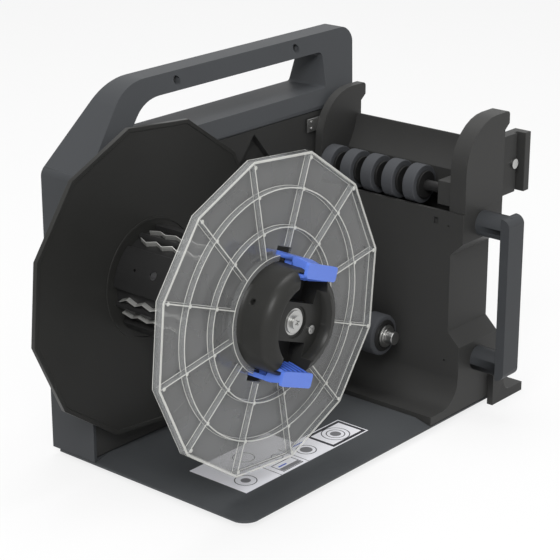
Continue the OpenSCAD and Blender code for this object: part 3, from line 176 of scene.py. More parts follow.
print("any node comes from", Net.node.__qualname__)


# %% Finishes
class Finish(Net):
    """One material, and the record's slot that it belongs to: the one of its own name, if none is given."""

    def __init__(self, name, slot=None):
        self.slot = slot or name
        self.material = bpy.data.materials.new(name)
        self.material.use_nodes = True
        super().__init__(self.material.node_tree)
        self.shader = self.tree.nodes["Principled BSDF"]
        self.place = self.node("ShaderNodeTexCoord", output="Object")

    def noise(self, size, detail=2.0, stretch=(1, 1, 1)):
        """Cloudy values from 0 to 1, with patches of about that size in metres."""
        place = self.node("ShaderNodeMapping", inputs={"Vector": self.place, "Scale": stretch})
        return self.node("ShaderNodeTexNoise", inputs={"Vector": place, "Scale": 1 / size, "Detail": detail})

    def mix(self, share, first, second):
        """The first colour where share is 0, the second where it is 1."""
        return self.node("ShaderNodeMix", {"data_type": "RGBA"}, {0: share, 6: first, 7: second}, 2)

    def bump(self, height, depth):
        return self.node("ShaderNodeBump", inputs={"Strength": 1.0, "Distance": depth, "Height": height})

    def shade(self, values):
        for name, value in values.items():
            self.plug(self.shader.inputs[name], value)
        return self


print("materials are made by", Finish.__name__)

# %% [markdown]
# ## Moulded plastic and rubber
#
# The casing, the covers and the black flange are injection mouldings. Their mould has a fine spark-eroded
# grain, so they look matt with a faint speckle, and broad patches differ slightly in tone. A picture of such
# a grain would need unwrapping. Noise on the object's own coordinates needs none and has the same scale on
# every piece. Pieces of one plastic can still differ, because their moulds are polished more or less.

# %% Plastic finishes
GRAIN = 0.7 * MM
PATCH = 60 * MM
PATCH_SHARE = 0.6
DARKEST = 0.86
LIGHTEST = 1.14
PATCH_GLOSS = 0.12
POLISHED = 0.006 * MM


def shade_of(colour, factor):
    """A colour with its brightness times factor, opaque."""
    return (*[channel * factor for channel in colour], 1.0)


def moulded(name, colour, roughness, depth=0.03 * MM, slot=None, shine=0.15):
    """A plastic whose grain is that deep. Patches change its tone and its gloss a little."""
    finish = Finish(name, slot)
    grain = finish.noise(GRAIN, 2)
    patch = finish.noise(PATCH, 3)
    blotch = patch * PATCH_SHARE + grain * (1 - PATCH_SHARE)
    return finish.shade({
        "Base Color": finish.mix(blotch, shade_of(colour, DARKEST), shade_of(colour, LIGHTEST)),
        "Roughness": roughness + (patch - 0.5) * PATCH_GLOSS,
        "Specular IOR Level": shine,
        "Normal": finish.bump(grain, depth),
    })


housing_grey = moulded("housing_grey", (0.05, 0.053, 0.057), 0.48)
base_grey = moulded("base_grey", (0.065, 0.069, 0.073), 0.5, slot="housing_grey")
dark_plastic = moulded("dark_plastic", (0.041, 0.041, 0.04), 0.46)
black_plastic = moulded("black_plastic", (0.018, 0.018, 0.018), 0.42, 0.02 * MM)
satin_black = moulded("satin_black", (0.027, 0.027, 0.0255), 0.32, POLISHED, "black_plastic")
blue_plastic = moulded("blue_plastic", (0.1, 0.2, 0.7), 0.3, POLISHED, shine=0.5)
# A deeper blue for the pad between the levers' ridges: painted shade for the bottoms of the grooves.
painted_shade_blue = moulded("painted_shade_blue", (0.012, 0.05, 0.33), 0.4, POLISHED, "blue_plastic")
gear_plastic = moulded("gear_plastic", (0.66, 0.62, 0.5), 0.4, 0.01 * MM)
board = moulded("board", (0.015, 0.1, 0.035), 0.3, 0.02 * MM)
grey_rubber = moulded("grey_rubber", (0.066, 0.069, 0.075), 0.75, 0.05 * MM)
black_rubber = moulded("black_rubber", (0.012, 0.012, 0.012), 0.8, 0.05 * MM)
print("plastic and rubber finishes made")

# %% [markdown]
# ## Metal
#
# Washers, screws and shafts are plain bright steel, turned or stamped. Turning leaves fine streaks. They
# could be a stretched picture, but a noise that is stretched along the shafts does the same without one, and
# the roughness and a very shallow bump follow it.

# %% Metal finishes
STREAK = 0.5 * MM
STREAK_STRETCH = (1, 0.08, 1)
STREAK_GLOSS = 0.16
STREAK_DEPTH = 0.0008 * MM
STAIN = 20 * MM
DULLEST = 0.9
BRIGHTEST = 1.05


def metal(name, colour, roughness, slot=None):
    finish = Finish(name, slot)
    streak = finish.noise(STREAK, 2, STREAK_STRETCH)
    stain = finish.noise(STAIN, 2)
    return finish.shade({
        "Base Color": finish.mix(stain, shade_of(colour, DULLEST), shade_of(colour, BRIGHTEST)),
        "Metallic": 1.0,
        "Roughness": roughness + (streak - 0.5) * STREAK_GLOSS,
        "Normal": finish.bump(streak, STREAK_DEPTH),
    })


steel = metal("steel", (0.47, 0.47, 0.46), 0.3)
spring_steel = metal("spring_steel", (0.85, 0.85, 0.82), 0.5, "steel")
dark_steel = metal("dark_steel", (0.28, 0.28, 0.29), 0.3, "steel")
brass = metal("brass", (0.66, 0.52, 0.24), 0.3)
print("metal finishes made")

# %% [markdown]
# ## Clear plastic
#
# The outer flange is clear and polished. Glass with true refraction is one way, but a thin plate bends the
# light very little, and shadows through glass come out black. Here each face carries a see-through film. The
# front of the web has a grey one, and its back is nearly clear, so that the plate dims what lies behind it
# only once. Narrow edges get a denser pale film, a painted highlight for the light that runs inside the plate
# and comes out there.

# %% Clear finishes
HAZE = 30 * MM
HAZE_DARKEST = 0.92
HAZE_GLOSS = 0.06
HAZE_COVER = 0.15
CLEAR_IOR = 1.49


def clear(name, colour, cover, roughness):
    """A see-through finish: cover is the share of the light that the film stops."""
    finish = Finish(name, "clear_plastic")
    haze = finish.noise(HAZE, 3)
    return finish.shade({
        "Base Color": finish.mix(haze, shade_of(colour, HAZE_DARKEST), shade_of(colour, 1.0)),
        "Roughness": roughness + (haze - 0.5) * HAZE_GLOSS,
        "Alpha": cover + (haze - 0.5) * HAZE_COVER * cover,
        "IOR": CLEAR_IOR,
    })


clear_web = clear("clear_web", (0.245, 0.248, 0.248), 0.62, 0.1)
clear_back = clear("clear_back", (0.3, 0.3, 0.3), 0.03, 0.1)
clear_wall = clear("clear_wall", (0.38, 0.39, 0.39), 0.25, 0.1)
# The pale edge film is a painted highlight: it stands for the light that leaves the plate at its edges.
clear_edge_highlight = clear("clear_edge_highlight", (0.88, 0.88, 0.83), 0.58, 0.15)
print("clear finishes made")

# %% [markdown]
# ## Soft edges on the solids
#
# No moulded edge is knife sharp: a small radius catches the light and draws the outline of every panel. A
# Bevel modifier would round every edge alike. The solids are exact but sharp, so each one that shows is
# copied, its loose triangles are merged into flat faces, and only the chosen edges are bevelled. The copy
# replaces the solid in the picture and rides on the same moving body.

# %% Copying and rounding
MERGE = 0.001 * MM
FLAT = radians(1)
SHARP = radians(25)


def merged_copy(node):
    bm = bmesh.new()
    bm.from_mesh(frame["nodes"][node].data)
    bmesh.ops.remove_doubles(bm, verts=bm.verts, dist=MERGE)
    bmesh.ops.dissolve_limit(bm, angle_limit=FLAT, verts=bm.verts, edges=bm.edges)
    return bm


def sharp_edges(bm, least, before=None):
    """The sharp edges at least that long, in mm: all of them, or those whose middle lies before a Y."""
    found = [edge for edge in bm.edges if edge.calc_face_angle(0) > SHARP]
    found = [edge for edge in found if edge.calc_length() >= least * MM]
    if before is None:
        return found
    return [edge for edge in found if (edge.verts[0].co.y + edge.verts[1].co.y) / 2 < before]


def round_off(bm, edges, radius, segments=3):
    """Bevels the edges by a radius in mm, and clears away what the bevel has squeezed to nothing."""
    bmesh.ops.bevel(
        bm, geom=edges, offset=radius * MM, offset_type="OFFSET", affect="EDGES",
        segments=segments, profile=0.5, material=-1, clamp_overlap=True,
    )
    bmesh.ops.dissolve_degenerate(bm, dist=MERGE, edges=bm.edges)


print("edges sharper than 25 degrees can be rounded")

# %% Finished pieces
SMOOTH = radians(40)
FRONT_DEPTH = 0.5 * MM


def add_piece(name, bm, finishes, *nodes):
    """Makes a piece of the mesh, puts it on its nodes' body and hides those nodes."""
    mesh = bpy.data.meshes.new(name)
    bm.to_mesh(mesh)
    bm.free()
    for finish in finishes:
        mesh.materials.append(finish.material)
    mesh.shade_smooth()
    mesh.set_sharp_from_angle(angle=SMOOTH)
    piece = bpy.data.objects.new(name, mesh)
    scene.collection.objects.link(piece)
    piece.modifiers.new("even shading", "WEIGHTED_NORMAL").keep_sharp = True
    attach(piece, body_of[nodes[0]])
    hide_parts(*nodes)
    print(name, len(mesh.polygons), "faces")


def softened(node, finish, radius, least=0.0, front_radius=0.0, cuts=()):
    """The usual case: a copy of one solid with its long edges rounded off, those in front more if wanted.

    Its faces are cut at the given places along Y first, so that uneven shading round a hole stays near the
    hole. Radii and lengths are in mm, the places in metres.
    """
    bm = merged_copy(node)
    for y in cuts:
        everything = [*bm.verts, *bm.edges, *bm.faces]
        bmesh.ops.bisect_plane(bm, geom=everything, plane_co=(0, y, 0), plane_no=(0, 1, 0))
    if front_radius:
        front_edges = sharp_edges(bm, least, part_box(node)[0].y + FRONT_DEPTH)
        round_off(bm, front_edges, front_radius, segments=4)
    round_off(bm, sharp_edges(bm, least), radius)
    add_piece(f"{node}_finished", bm, [finish], node)


print("pieces are shaded smooth up to 40 degrees")

# %% [markdown]
# ## Housing
#
# The housing is one deep shell with a handle window, closed by a front and a rear cover. It could be drawn
# again from its outline, but the solid already has it. Its long outer edges are well rounded, so they are
# chosen by length, and screw holes keep their edges.

# %% Housing and covers
softened("housing_shell", housing_grey, radius=1.6, least=12)
softened("front_cover", dark_plastic, radius=0.5, least=8)
softened("rear_cover", housing_grey, radius=0.5, least=8)

# %% [markdown]
# ## Base
#
# The base plate has a sloping border round a raised middle, and rubber feet. It could be lofted anew, but
# the solid already has every slope. Its edges are crisper than the housing's, so their radius is smaller.

# %% Base and feet
softened("base_plate", base_grey, radius=0.8, least=5)
softened("feet", black_rubber, radius=0.6)

# %% [markdown]
# ## Tower and carry handle
#
# The tower stands on the right and has a finger recess behind the carry handle, whose grip is held by two
# round posts. The tower's front edges are rounder than the rest. So large a radius on every edge would run
# into the next one where the wall is thin, so the front has a radius of its own.

# %% Tower, handle and bracket
softened("tower_shell", dark_plastic, radius=1.0, least=6, front_radius=2.2)
softened("tower_cover", dark_plastic, radius=0.5)
softened("carry_handle", housing_grey, radius=1.6, least=6)
softened("locating_bracket", dark_plastic, radius=0.4, least=2)

# %% [markdown]
# ## Label guide
#
# Two end plates carry a curved guide plate over which the labels run. The printer hook is screwed to the
# front one. The curved edges of the plates are many short ones in the solid, so the least length is small.

# %% Guide pieces
softened("front_fin", dark_plastic, radius=0.8, least=0.7, front_radius=2.2)
softened("rear_fin", dark_plastic, radius=0.8, least=0.7)
softened("guide_plate", dark_plastic, radius=0.4, least=2.3)
softened("printer_hook", dark_plastic, radius=0.5, least=2)
softened("roller_bracket", dark_plastic, radius=0.6, least=2)
softened("latch_plate", steel, radius=0.15, least=2)

# %% [markdown]
# ## Rollers
#
# Rubber tyres on plastic hubs are turned shapes. The solids could be bevelled here too, but a spun profile
# has evenly spaced faces, and it gives the tyres the round shoulders that the plain solids lack. A few
# points are joined to a closed outline, and it is spun round the shaft's axis.


# %% Turned shapes
def closed_loop(bm, points):
    """The corners and edges of a closed outline."""
    corners = [bm.verts.new(point) for point in points]
    edges = [bm.edges.new((corners[i - 1], corners[i])) for i in range(len(corners))]
    return corners, edges


def turned(bm, profile, centre, steps=64, turn=0.0):
    """Spins a closed profile of (radius, place along Y) points, in metres, round the centre's Y line."""
    points = [(centre.x + r * cos(turn), y, centre.z + r * sin(turn)) for r, y in profile]
    corners, edges = closed_loop(bm, points)
    bmesh.ops.spin(
        bm, geom=corners + edges, cent=centre, axis=(0, 1, 0), angle=tau, steps=steps, use_merge=True,
        use_duplicate=False,
    )
    bmesh.ops.remove_doubles(bm, verts=bm.verts, dist=MERGE)
    bmesh.ops.recalc_face_normals(bm, faces=bm.faces)


def rounded(inner, outer, start, end, corner, steps=4):
    """The profile of a ring whose two outer shoulders are rounded."""
    arcs = [(outer - corner, start + corner, -pi / 2), (outer - corner, end - corner, 0)]
    shoulders = [
        (r + corner * cos(turn + pi / 2 * i / steps), y + corner * sin(turn + pi / 2 * i / steps))
        for r, y, turn in arcs for i in range(steps + 1)
    ]
    return [(inner, start), *shoulders, (inner, end)]


print("profiles have", len(rounded(1, 2, 0, 1, 0.2)), "points")

# %% Upper rollers
TYRES = 5
TYRE_W = 10 * MM
TYRE_CORNER = 0.7 * MM
HUB_W = 14 * MM
HUB_CORNER = 0.4 * MM
HUB_BORE_R = 4 * MM

upper = joint_at["upper_rollers_spin"]
tyres_low, tyres_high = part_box("roller_tyres")
hubs_low, hubs_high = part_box("roller_hubs")
tyre_r = (tyres_high.z - tyres_low.z) / 2
hub_r = (hubs_high.z - hubs_low.z) / 2
pitch = (tyres_high.y - tyres_low.y - TYRE_W) / (TYRES - 1)
tyres = bmesh.new()
hubs = bmesh.new()
for i in range(TYRES):
    at = tyres_low.y + TYRE_W / 2 + i * pitch
    turned(tyres, rounded(hub_r, tyre_r, at - TYRE_W / 2, at + TYRE_W / 2, TYRE_CORNER), upper)
    turned(hubs, rounded(HUB_BORE_R, hub_r, at - HUB_W / 2, at + HUB_W / 2, HUB_CORNER), upper)
add_piece("upper_tyres", tyres, [grey_rubber], "roller_tyres")
add_piece("upper_hubs", hubs, [black_plastic], "roller_hubs")
softened("roller_shaft", black_plastic, radius=0.3)

# %% Lower roller
WHEEL_CORNER = 1.8 * MM

lower = joint_at["lower_roller_spin"]
wheel_low, wheel_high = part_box("lower_roller_tyre")
core_low, core_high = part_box("lower_roller_core")
core_r = (core_high.z - core_low.z) / 2
wheel_r = (wheel_high.z - wheel_low.z) / 2
wheel = bmesh.new()
turned(wheel, rounded(core_r, wheel_r, wheel_low.y, wheel_high.y, WHEEL_CORNER), lower)
add_piece("lower_tyre", wheel, [grey_rubber], "lower_roller_tyre")
softened("lower_roller_core", black_plastic, radius=0.8)
softened("lower_roller_mount", black_plastic, radius=0.8)
softened("lower_roller_shaft", steel, radius=0.4)
softened("lower_roller_washer", steel, radius=0.15)
softened("lower_roller_clip", steel, radius=0.1)

# %% [markdown]
# ## Spindle
#
# The black flange is fixed to the drum, and sprung shoes on the drum grip the core from inside. Their bright
# wavy springs show between the shoes. All of them have their shape in the solids, so they are softened, the
# thin springs by less than a tenth of a millimetre.

# %% Spindle pieces
softened("inner_flange", satin_black, radius=0.5, least=5)
softened("drum", black_plastic, radius=0.4, least=3)
softened("drum_shoes", black_plastic, radius=0.5, least=3)
softened("shoe_springs", spring_steel, radius=0.08, least=3)
softened("end_washer", steel, radius=0.2)
softened("end_screw", steel, radius=0.15, least=1.2)

# %% [markdown]
# ## Outer flange
#
# The clear flange is one moulding: a thin web, a rim with twelve sides, twelve straight ribs, two ring ribs
# and a collar round the hub. The light that runs inside it leaves at the edges, so it shows as pale lines,
# one along the front of each rib and a fainter one at its root. The solid's ribs are plain blocks. Here each
# rib gets a section with tapered sides, small chamfers in front and a fillet at the root, and the lines then
# follow the sloping faces.
#
# A box gives the flange's depth. Its other sizes are the solid's own, written out because a box can't tell
# them. Ribs, rings, bosses and collar are sunk a little in the web, so that no two faces lie in one plane.

# %% Measures of the flange
SIDES = 12
FIRST_TURN = radians(9.74)
LEVER_RIBS = (2, 8)
CORNER_R = 110 * MM
RIM_T = 2.1 * MM
RIM_EDGE = 0.3 * MM
RIM_LINE = 0.9 * MM
WEB_T = 2 * MM
SINK = 0.3 * MM
RING_R = (59 * MM, 85 * MM)
HOLE_R = 36.7 * MM
COLLAR_R = 40.5 * MM
COLLAR_EDGE = 0.35 * MM
SLOT_R = 46 * MM
SLOT_HALF = 7.5 * MM
BOSS_R = 2.0 * MM
BOSS_OUT = 0.6 * MM

flange_low, flange_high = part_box("outer_flange")
flange_front = flange_low.y + BOSS_OUT
web_front = flange_high.y - WEB_T
rib_turns = [FIRST_TURN + tau * i / SIDES for i in range(SIDES)]
lever_turns = [rib_turns[i] for i in LEVER_RIBS]
print("web from", round(web_front, 4), "to", round(flange_high.y, 4))


# %% Sections and outlines
def rib_section(middle, half=0.75 * MM, taper=0.3 * MM, chamfer=0.2 * MM, fillet=0.3 * MM):
    """A rib's outline, up one side from its root and down the other: (across, place along Y) points."""
    side = [
        (half + fillet, web_front + SINK), (half + fillet, web_front), (half, web_front - fillet),
        (half - taper, flange_front + chamfer), (half - taper - chamfer, flange_front),
    ]
    left = [(middle - across, y) for across, y in side]
    right = [(middle + across, y) for across, y in reversed(side)]
    return left + right


def around(radius, turn):
    """The point at that radius and turn round the spindle, in the plane of the web's front."""
    return Vector((spindle.x + radius * cos(turn), web_front, spindle.z + radius * sin(turn)))


def arc(radius, start, end, steps=40):
    return [around(radius, start + (end - start) * i / steps) for i in range(steps + 1)]


def pushed(bm, faces, shift):
    """Gives flat faces a thickness: they are extruded by the shift. The new corners are returned."""
    grown = bmesh.ops.extrude_face_region(bm, geom=faces)
    corners = [part for part in grown["geom"] if isinstance(part, bmesh.types.BMVert)]
    bmesh.ops.translate(bm, verts=corners, vec=shift)
    return corners


print("a rib's section has", len(rib_section(0)), "points")


# %% Web and collar
def flange_web(bm):
    """The web, with the hub's hole and the two slots where the levers' arms pass."""
    narrow = asin(SLOT_HALF / HOLE_R)
    wide = asin(SLOT_HALF / SLOT_R)
    hole = []
    for turn in lever_turns:
        hole += [around(SLOT_R, turn - wide), around(SLOT_R, turn + wide)]
        hole += arc(HOLE_R, turn + narrow, turn + pi - narrow)
    rim = [around(CORNER_R - RIM_T / 2, turn) for turn in rib_turns]
    edges = closed_loop(bm, hole)[1] + closed_loop(bm, rim)[1]
    filled = bmesh.ops.triangle_fill(bm, edges=edges, use_beauty=True, normal=(0, 1, 0))
    faces = [part for part in filled["geom"] if isinstance(part, bmesh.types.BMFace)]
    pushed(bm, faces, (0, WEB_T, 0))


def flange_collar(bm):
    """The two halves of the collar between the levers' slots."""
    inner = asin(SLOT_HALF / HOLE_R)
    outer = asin(SLOT_HALF / COLLAR_R)
    for turn in lever_turns:
        outline = arc(COLLAR_R, turn + outer, turn + pi - outer)
        outline += arc(HOLE_R, turn + pi - inner, turn + inner)
        half = bm.faces.new([bm.verts.new(point + Vector((0, SINK, 0))) for point in outline])
        pushed(bm, [half], (0, flange_front - web_front - SINK, 0))
    rim = [edge for edge in bm.edges if all(corner.co.y < flange_front + MERGE for corner in edge.verts)]
    bmesh.ops.bevel(
        bm, geom=rim, offset=COLLAR_EDGE, offset_type="OFFSET", affect="EDGES",
        segments=1, profile=0.5, material=-1,
    )


flange = bmesh.new()
flange_web(flange)
flange_collar(flange)
print("web and collar", len(flange.faces), "faces")

# %% Rim and rings
RING_STEPS = 96


def flange_rim(bm):
    """The rim, spun in as many steps as it has sides."""
    inner = CORNER_R - RIM_T
    section = [
        (CORNER_R - RIM_EDGE, flange_front), (CORNER_R, flange_front + RIM_EDGE),
        (CORNER_R, flange_high.y - RIM_LINE), (CORNER_R, flange_high.y - RIM_EDGE),
        (CORNER_R - RIM_EDGE, flange_high.y), (inner, flange_high.y),
        (inner - RIM_EDGE, web_front), (inner, web_front - RIM_EDGE),
        (inner + RIM_EDGE, flange_front + RIM_EDGE), (inner + 2 * RIM_EDGE, flange_front),
    ]
    turned(bm, section, spindle, SIDES, FIRST_TURN)


flange_rim(flange)
for ring_r in RING_R:
    turned(flange, rib_section(ring_r), spindle, RING_STEPS)
print("with rim and rings", len(flange.faces), "faces")

# %% Ribs and bosses
RIB_OVERLAP = 0.5 * MM
BOSS_SIDES = 10
BOSS_TAPER = 0.7


def flange_ribs(bm):
    """Straight ribs from the collar to the rim. The two in line with the levers start outside the slots."""
    for i, turn in enumerate(rib_turns):
        start = SLOT_R if i in LEVER_RIBS else COLLAR_R - RIB_OVERLAP
        section = [(spindle.x + start, y, spindle.z + across) for across, y in rib_section(0)]
        corners = [bm.verts.new(point) for point in section]
        moved = pushed(bm, [bm.faces.new(corners)], (CORNER_R - RIM_T - start, 0, 0))
        bmesh.ops.rotate(bm, verts=corners + moved, cent=spindle, matrix=Matrix.Rotation(-turn, 3, "Y"))


def flange_bosses(bm):
    """Small bosses where the ribs cross the rings and meet the rim."""
    depth = web_front + SINK - flange_low.y
    for radius in (*RING_R, CORNER_R - RIM_T - BOSS_R):
        for turn in rib_turns:
            place = around(radius, turn) + Vector((0, SINK - depth / 2, 0))
            bmesh.ops.create_cone(
                bm, cap_ends=True, segments=BOSS_SIDES, radius1=BOSS_R, radius2=BOSS_R * BOSS_TAPER,
                depth=depth, matrix=Matrix.Translation(place) @ Matrix.Rotation(pi / 2, 4, "X"),
            )


flange_ribs(flange)
flange_bosses(flange)
bmesh.ops.recalc_face_normals(flange, faces=flange.faces)
print("with ribs and bosses", len(flange.faces), "faces")

# %% [markdown]
# ## Films on the flange
#
# Which film a face carries follows from the way it faces. A Geometry node could tell that in the shader, but
# a face's own material is simpler and stays with the mesh. Walls stand along the axis, edges slope or
# are the narrow fronts of the ribs, and the rest is the front or the back of the plate. A strip at the back
# of the rim's outer wall counts as an edge too, because a bright line runs along it.

# %% Finish of each face
WEB, WALL, EDGE, BACK = range(4)
STEEP = 0.3
SLOPING = 0.9
NARROW = 100 * MM * MM


def film_on(face):
    facing = abs(face.normal.y)
    depth = face.calc_center_median().y
    # An edge's pale film is a painted highlight. The strip at the back of the rim's outer wall gets it too, as a
    # painted bright line.
    if facing < STEEP:
        return EDGE if depth > flange_high.y - RIM_LINE else WALL
    if facing < SLOPING or (depth < flange_front + MERGE and face.calc_area() < NARROW):
        return EDGE
    return BACK if face.normal.y > 0 else WEB


for face in flange.faces:
    face.material_index = film_on(face)
add_piece("clear_flange", flange, [clear_web, clear_wall, clear_edge_highlight, clear_back], "outer_flange")

# %% [markdown]
# ## Hub
#
# The hub is a black cup in the middle of the clear flange, with a small hole in its side. Smooth shading
# spreads from the hole's edge over the long faces of the cup and looks like a dent. More faces everywhere
# would cure it, but two cuts, just before and just behind the hole, are enough.

# %% Hub
SIDE_HOLE_FROM = 16 * MM
SIDE_HOLE_TO = 21.2 * MM

hub_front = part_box("hub")[0].y
hub_cuts = [hub_front + SIDE_HOLE_FROM, hub_front + SIDE_HOLE_TO]
softened("hub", satin_black, radius=0.5, least=4, cuts=hub_cuts)
softened("hub_screw", steel, radius=0.1, least=1.2)

# %% [markdown]
# ## Levers
#
# Two blue levers lie in the hub's pockets, and pinching them lets the flange slide off. The inner face of
# each, where a finger presses, has ridges that run from front to back. Bump in the finish would look right
# from the front only, so they are real: small three-sided bars, extruded along the sloping pad. The pad
# between them is painted a deeper blue as painted shade, because little light reaches the bottom of such
# grooves.

# %% Levers
RIDGES = 5
RIDGE_PITCH = 5 * MM
RIDGE_HALF = 1.0 * MM
RIDGE_OUT = 0.6 * MM
RIDGE_ROOT = 0.2 * MM
PAD_IN = 2.5 * MM
PAD_FRONT = 24.2 * MM
PAD_L = 15 * MM
PAD_FALL = 2.9 * MM
ALONG = 0.99


def ridged_lever(node, pivot):
    bm = merged_copy(node)
    round_off(bm, sharp_edges(bm, least=2.5), radius=0.9)
    outwards = Vector((pivot.x - spindle.x, 0, pivot.z - spindle.z)).normalized()
    across = outwards.cross((0, 1, 0))
    slope = Vector((0, PAD_L, 0)) - outwards * PAD_FALL
    pad_side = slope.cross(across).normalized()
    # The faces between the ridges take the second finish, the deeper blue of painted shade.
    grooves = [face for face in bm.faces if abs(face.normal.dot(pad_side)) > ALONG]
    for face in grooves:
        face.material_index = 1
    pad_middle = pivot - outwards * PAD_IN - Vector((0, PAD_FRONT, 0))
    for i in range(RIDGES):
        top = pad_middle + across * (i - (RIDGES - 1) / 2) * RIDGE_PITCH
        root = top + outwards * RIDGE_ROOT
        section = [root + across * RIDGE_HALF, root - across * RIDGE_HALF, top - outwards * RIDGE_OUT]
        pushed(bm, [bm.faces.new([bm.verts.new(point) for point in section])], slope)
    bmesh.ops.recalc_face_normals(bm, faces=bm.faces)
    add_piece(f"{node}_finished", bm, [blue_plastic, painted_shade_blue], node)
    print(len(grooves), "face between the ridges")


for node in ("upper_lever", "lower_lever"):
    ridged_lever(node, joint_at[f"{node}_press"])

# %% [markdown]
# ## Instruction sheet
#
# A printed film lies on the base under the flanges. Plain outline drawings stand on it: a roll, discs, a
# framed panel. A picture file would need unwrapping, so each drawing is a mask worked out from the place on
# the sheet: a disc where the distance from its middle is small, a panel between two limits each way.


# %% Masks for the drawings
class Drawing(Finish):
    """A finish with masks in millimetres from the front left corner of the sheet."""

    def __init__(self, name, corner):
        super().__init__(name)
        self.x = (self.along("X") - corner.x) * (1 / MM)
        self.y = (self.along("Y") - corner.y) * (1 / MM)

    def along(self, axis):
        return self.node("ShaderNodeSeparateXYZ", inputs={"Vector": self.place}, output=axis)

    def disc(self, x, y, radius):
        from_x = self.x - x
        from_y = self.y - y
        return from_x * from_x + from_y * from_y < radius * radius

    def ring(self, x, y, radius, line=0.7):
        return self.disc(x, y, radius) - self.disc(x, y, radius - line)

    def panel(self, left, right, near, far):
        return (self.x > left) * (self.x < right) * (self.y > near) * (self.y < far)

    def border(self, left, right, near, far, line=0.7):
        inner = self.panel(left + line, right - line, near + line, far - line)
        return self.panel(left, right, near, far) - inner


print("drawings are masks of", Drawing.__name__)

# %% Instruction sheet
FIBRE = 0.6 * MM
PAPER = ((0.82, 0.82, 0.86, 1), (0.88, 0.88, 0.92, 1))
GREY_INK = (0.2, 0.2, 0.21, 1)
BLUE_INK = (0.03, 0.09, 0.5, 1)
BLACK_INK = (0.03, 0.03, 0.035, 1)
LEFT_DISC = (14, 13)
RIGHT_DISC = (78, 13)
ROLL = (112, 14)


def printed_sheet():
    sheet = Drawing("sheet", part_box("base_sheet")[0])
    fibre = sheet.noise(FIBRE, 2)
    cores = sheet.disc(*LEFT_DISC, 3.5) | sheet.disc(*RIGHT_DISC, 4.5) | sheet.disc(*ROLL, 4)
    grey = cores | sheet.panel(42, 61, 3, 7)
    blue = sheet.panel(44, 52, 8.6, 10) | sheet.disc(24, 20, 1.6) | sheet.panel(70, 86, 22.5, 23.6)
    roll = sheet.ring(*ROLL, 10.5) | sheet.ring(*ROLL, 7) | sheet.border(94, 131, 1, 27, 2.6)
    panels = sheet.panel(36, 36.6, 0, 28) | sheet.panel(65, 65.6, 0, 28) | sheet.border(41, 62, 2, 14)
    discs = sheet.ring(*LEFT_DISC, 8) | sheet.ring(*RIGHT_DISC, 7.5)
    loose_discs = sheet.ring(40, 38, 8) | sheet.ring(56, 21, 4.5)
    tone = sheet.mix(fibre, *PAPER)
    tone = sheet.mix(grey, tone, GREY_INK)
    tone = sheet.mix(blue, tone, BLUE_INK)
    tone = sheet.mix(roll | panels | discs | loose_discs, tone, BLACK_INK)
    return sheet.shade({"Base Color": tone, "Roughness": 0.4 + fibre * 0.1})


softened("base_sheet", printed_sheet(), radius=0.05)

# %% [markdown]
# ## Inner workings
#
# The drive, the board and the small screws are inside or tiny. They could be softened as the others are, but
# nobody would see it, so they keep their own solids and only take a finish.

# %% Inner workings
KEPT = [
    (steel, "cover_screws bar_screws bracket_screw handle_screws hook_screw latch_pins gear_frame"),
    (steel, "spindle_bearings spindle_shaft lever_pins lever_springs"),
    (steel, "motor motor_screws motor_shaft board_screws"),
    (dark_steel, "shoe_screws"),
    (brass, "motor_pinion"),
    (gear_plastic, "drive_gear"),
    (black_plastic, "roller_bushes power_inlet switch_case switch_rocker"),
    (board, "control_board"),
]
for finish, nodes in KEPT:
    for node in nodes.split():
        kept = frame["nodes"][node]
        kept.data.materials.clear()
        kept.data.materials.append(finish.material)
print(sum(len(nodes.split()) for finish, nodes in KEPT), "solids kept with a finish")

# %% [markdown]
# ## Light
#
# The object stood among large soft lamps: no shadow on it has a hard edge. A picture of a studio could light
# the scene, but three round area lights say plainly where the light comes from. The strongest stands at the
# left, one hangs above, and a weak one at the right lifts the dark side.


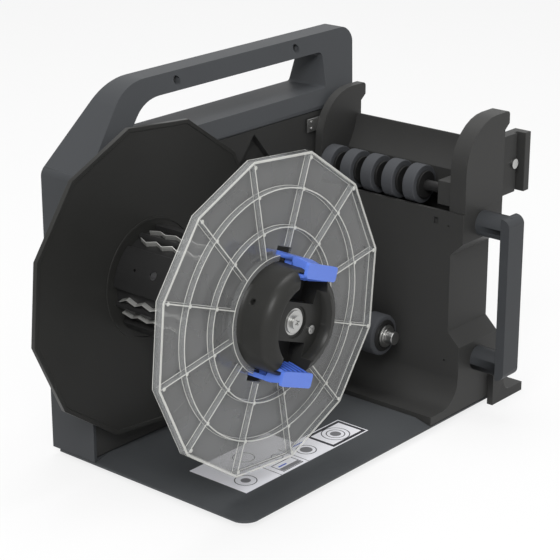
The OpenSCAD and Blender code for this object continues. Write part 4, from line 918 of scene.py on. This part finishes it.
# %% Lights
def soft_box(name, place, size, power):
    light = bpy.data.lights.new(name, "AREA")
    light.shape = "DISK"
    light.size = size
    light.energy = power
    lamp = bpy.data.objects.new(name, light)
    lamp.location = place
    lamp.rotation_euler = (VIEW_CENTRE - Vector(place)).to_track_quat("-Z", "Y").to_euler()
    scene.collection.objects.link(lamp)
    print(name, power, "W")


soft_box("key_light", place=(-1.4, -0.9, 1.5), size=0.9, power=26)
soft_box("top_light", place=(0.3, 0.2, 2.0), size=1.2, power=20)
soft_box("side_light", place=(1.2, -1.6, 0.8), size=0.9, power=2)

# %% [markdown]
# ## World and floor
#
# A white world fills the shadows with part of its strength. A stronger one would be a whiter background but
# would flatten the object, so the rays that show the background see it at full white, and the rest don't.
# The floor is pale and is lifted towards white for those rays alone: it lends the object no extra light and
# keeps its shadow.

# %% World
WHITE = (1, 1, 1, 1)
FILL = 0.4

scene.view_settings.view_transform = "Standard"
scene.world = bpy.data.worlds.new("studio")
scene.world.use_nodes = True
sky = Net(scene.world.node_tree)
backdrop = sky.tree.nodes["Background"]
sky.plug(backdrop.inputs["Color"], WHITE)
sky.plug(backdrop.inputs["Strength"], FILL + sky.background_rays() * (1 - FILL))
print("world fills with", FILL)

# %% Floor
PALE = (0.85, 0.85, 0.85, 1)
LIFT = 0.8
FLOOR_R = 12.0

floor_finish = Finish("pale_floor").shade({"Base Color": PALE, "Roughness": 0.9})
plain = Wire(floor_finish, floor_finish.shader.outputs[0])
glow = floor_finish.node("ShaderNodeEmission", inputs={"Color": WHITE, "Strength": 1.0})
share = floor_finish.background_rays() * LIFT
lifted = floor_finish.node("ShaderNodeMixShader", inputs={0: share, 1: plain, 2: glow})
floor_finish.plug(floor_finish.tree.nodes["Material Output"].inputs["Surface"], lifted)
floor_bm = bmesh.new()
bmesh.ops.create_circle(floor_bm, cap_ends=True, segments=96, radius=FLOOR_R)
floor_mesh = bpy.data.meshes.new("floor")
floor_bm.to_mesh(floor_mesh)
floor_bm.free()
floor_mesh.materials.append(floor_finish.material)
floor = bpy.data.objects.new("floor", floor_mesh)
scene.collection.objects.link(floor)
print("floor", len(floor_mesh.polygons), "face")
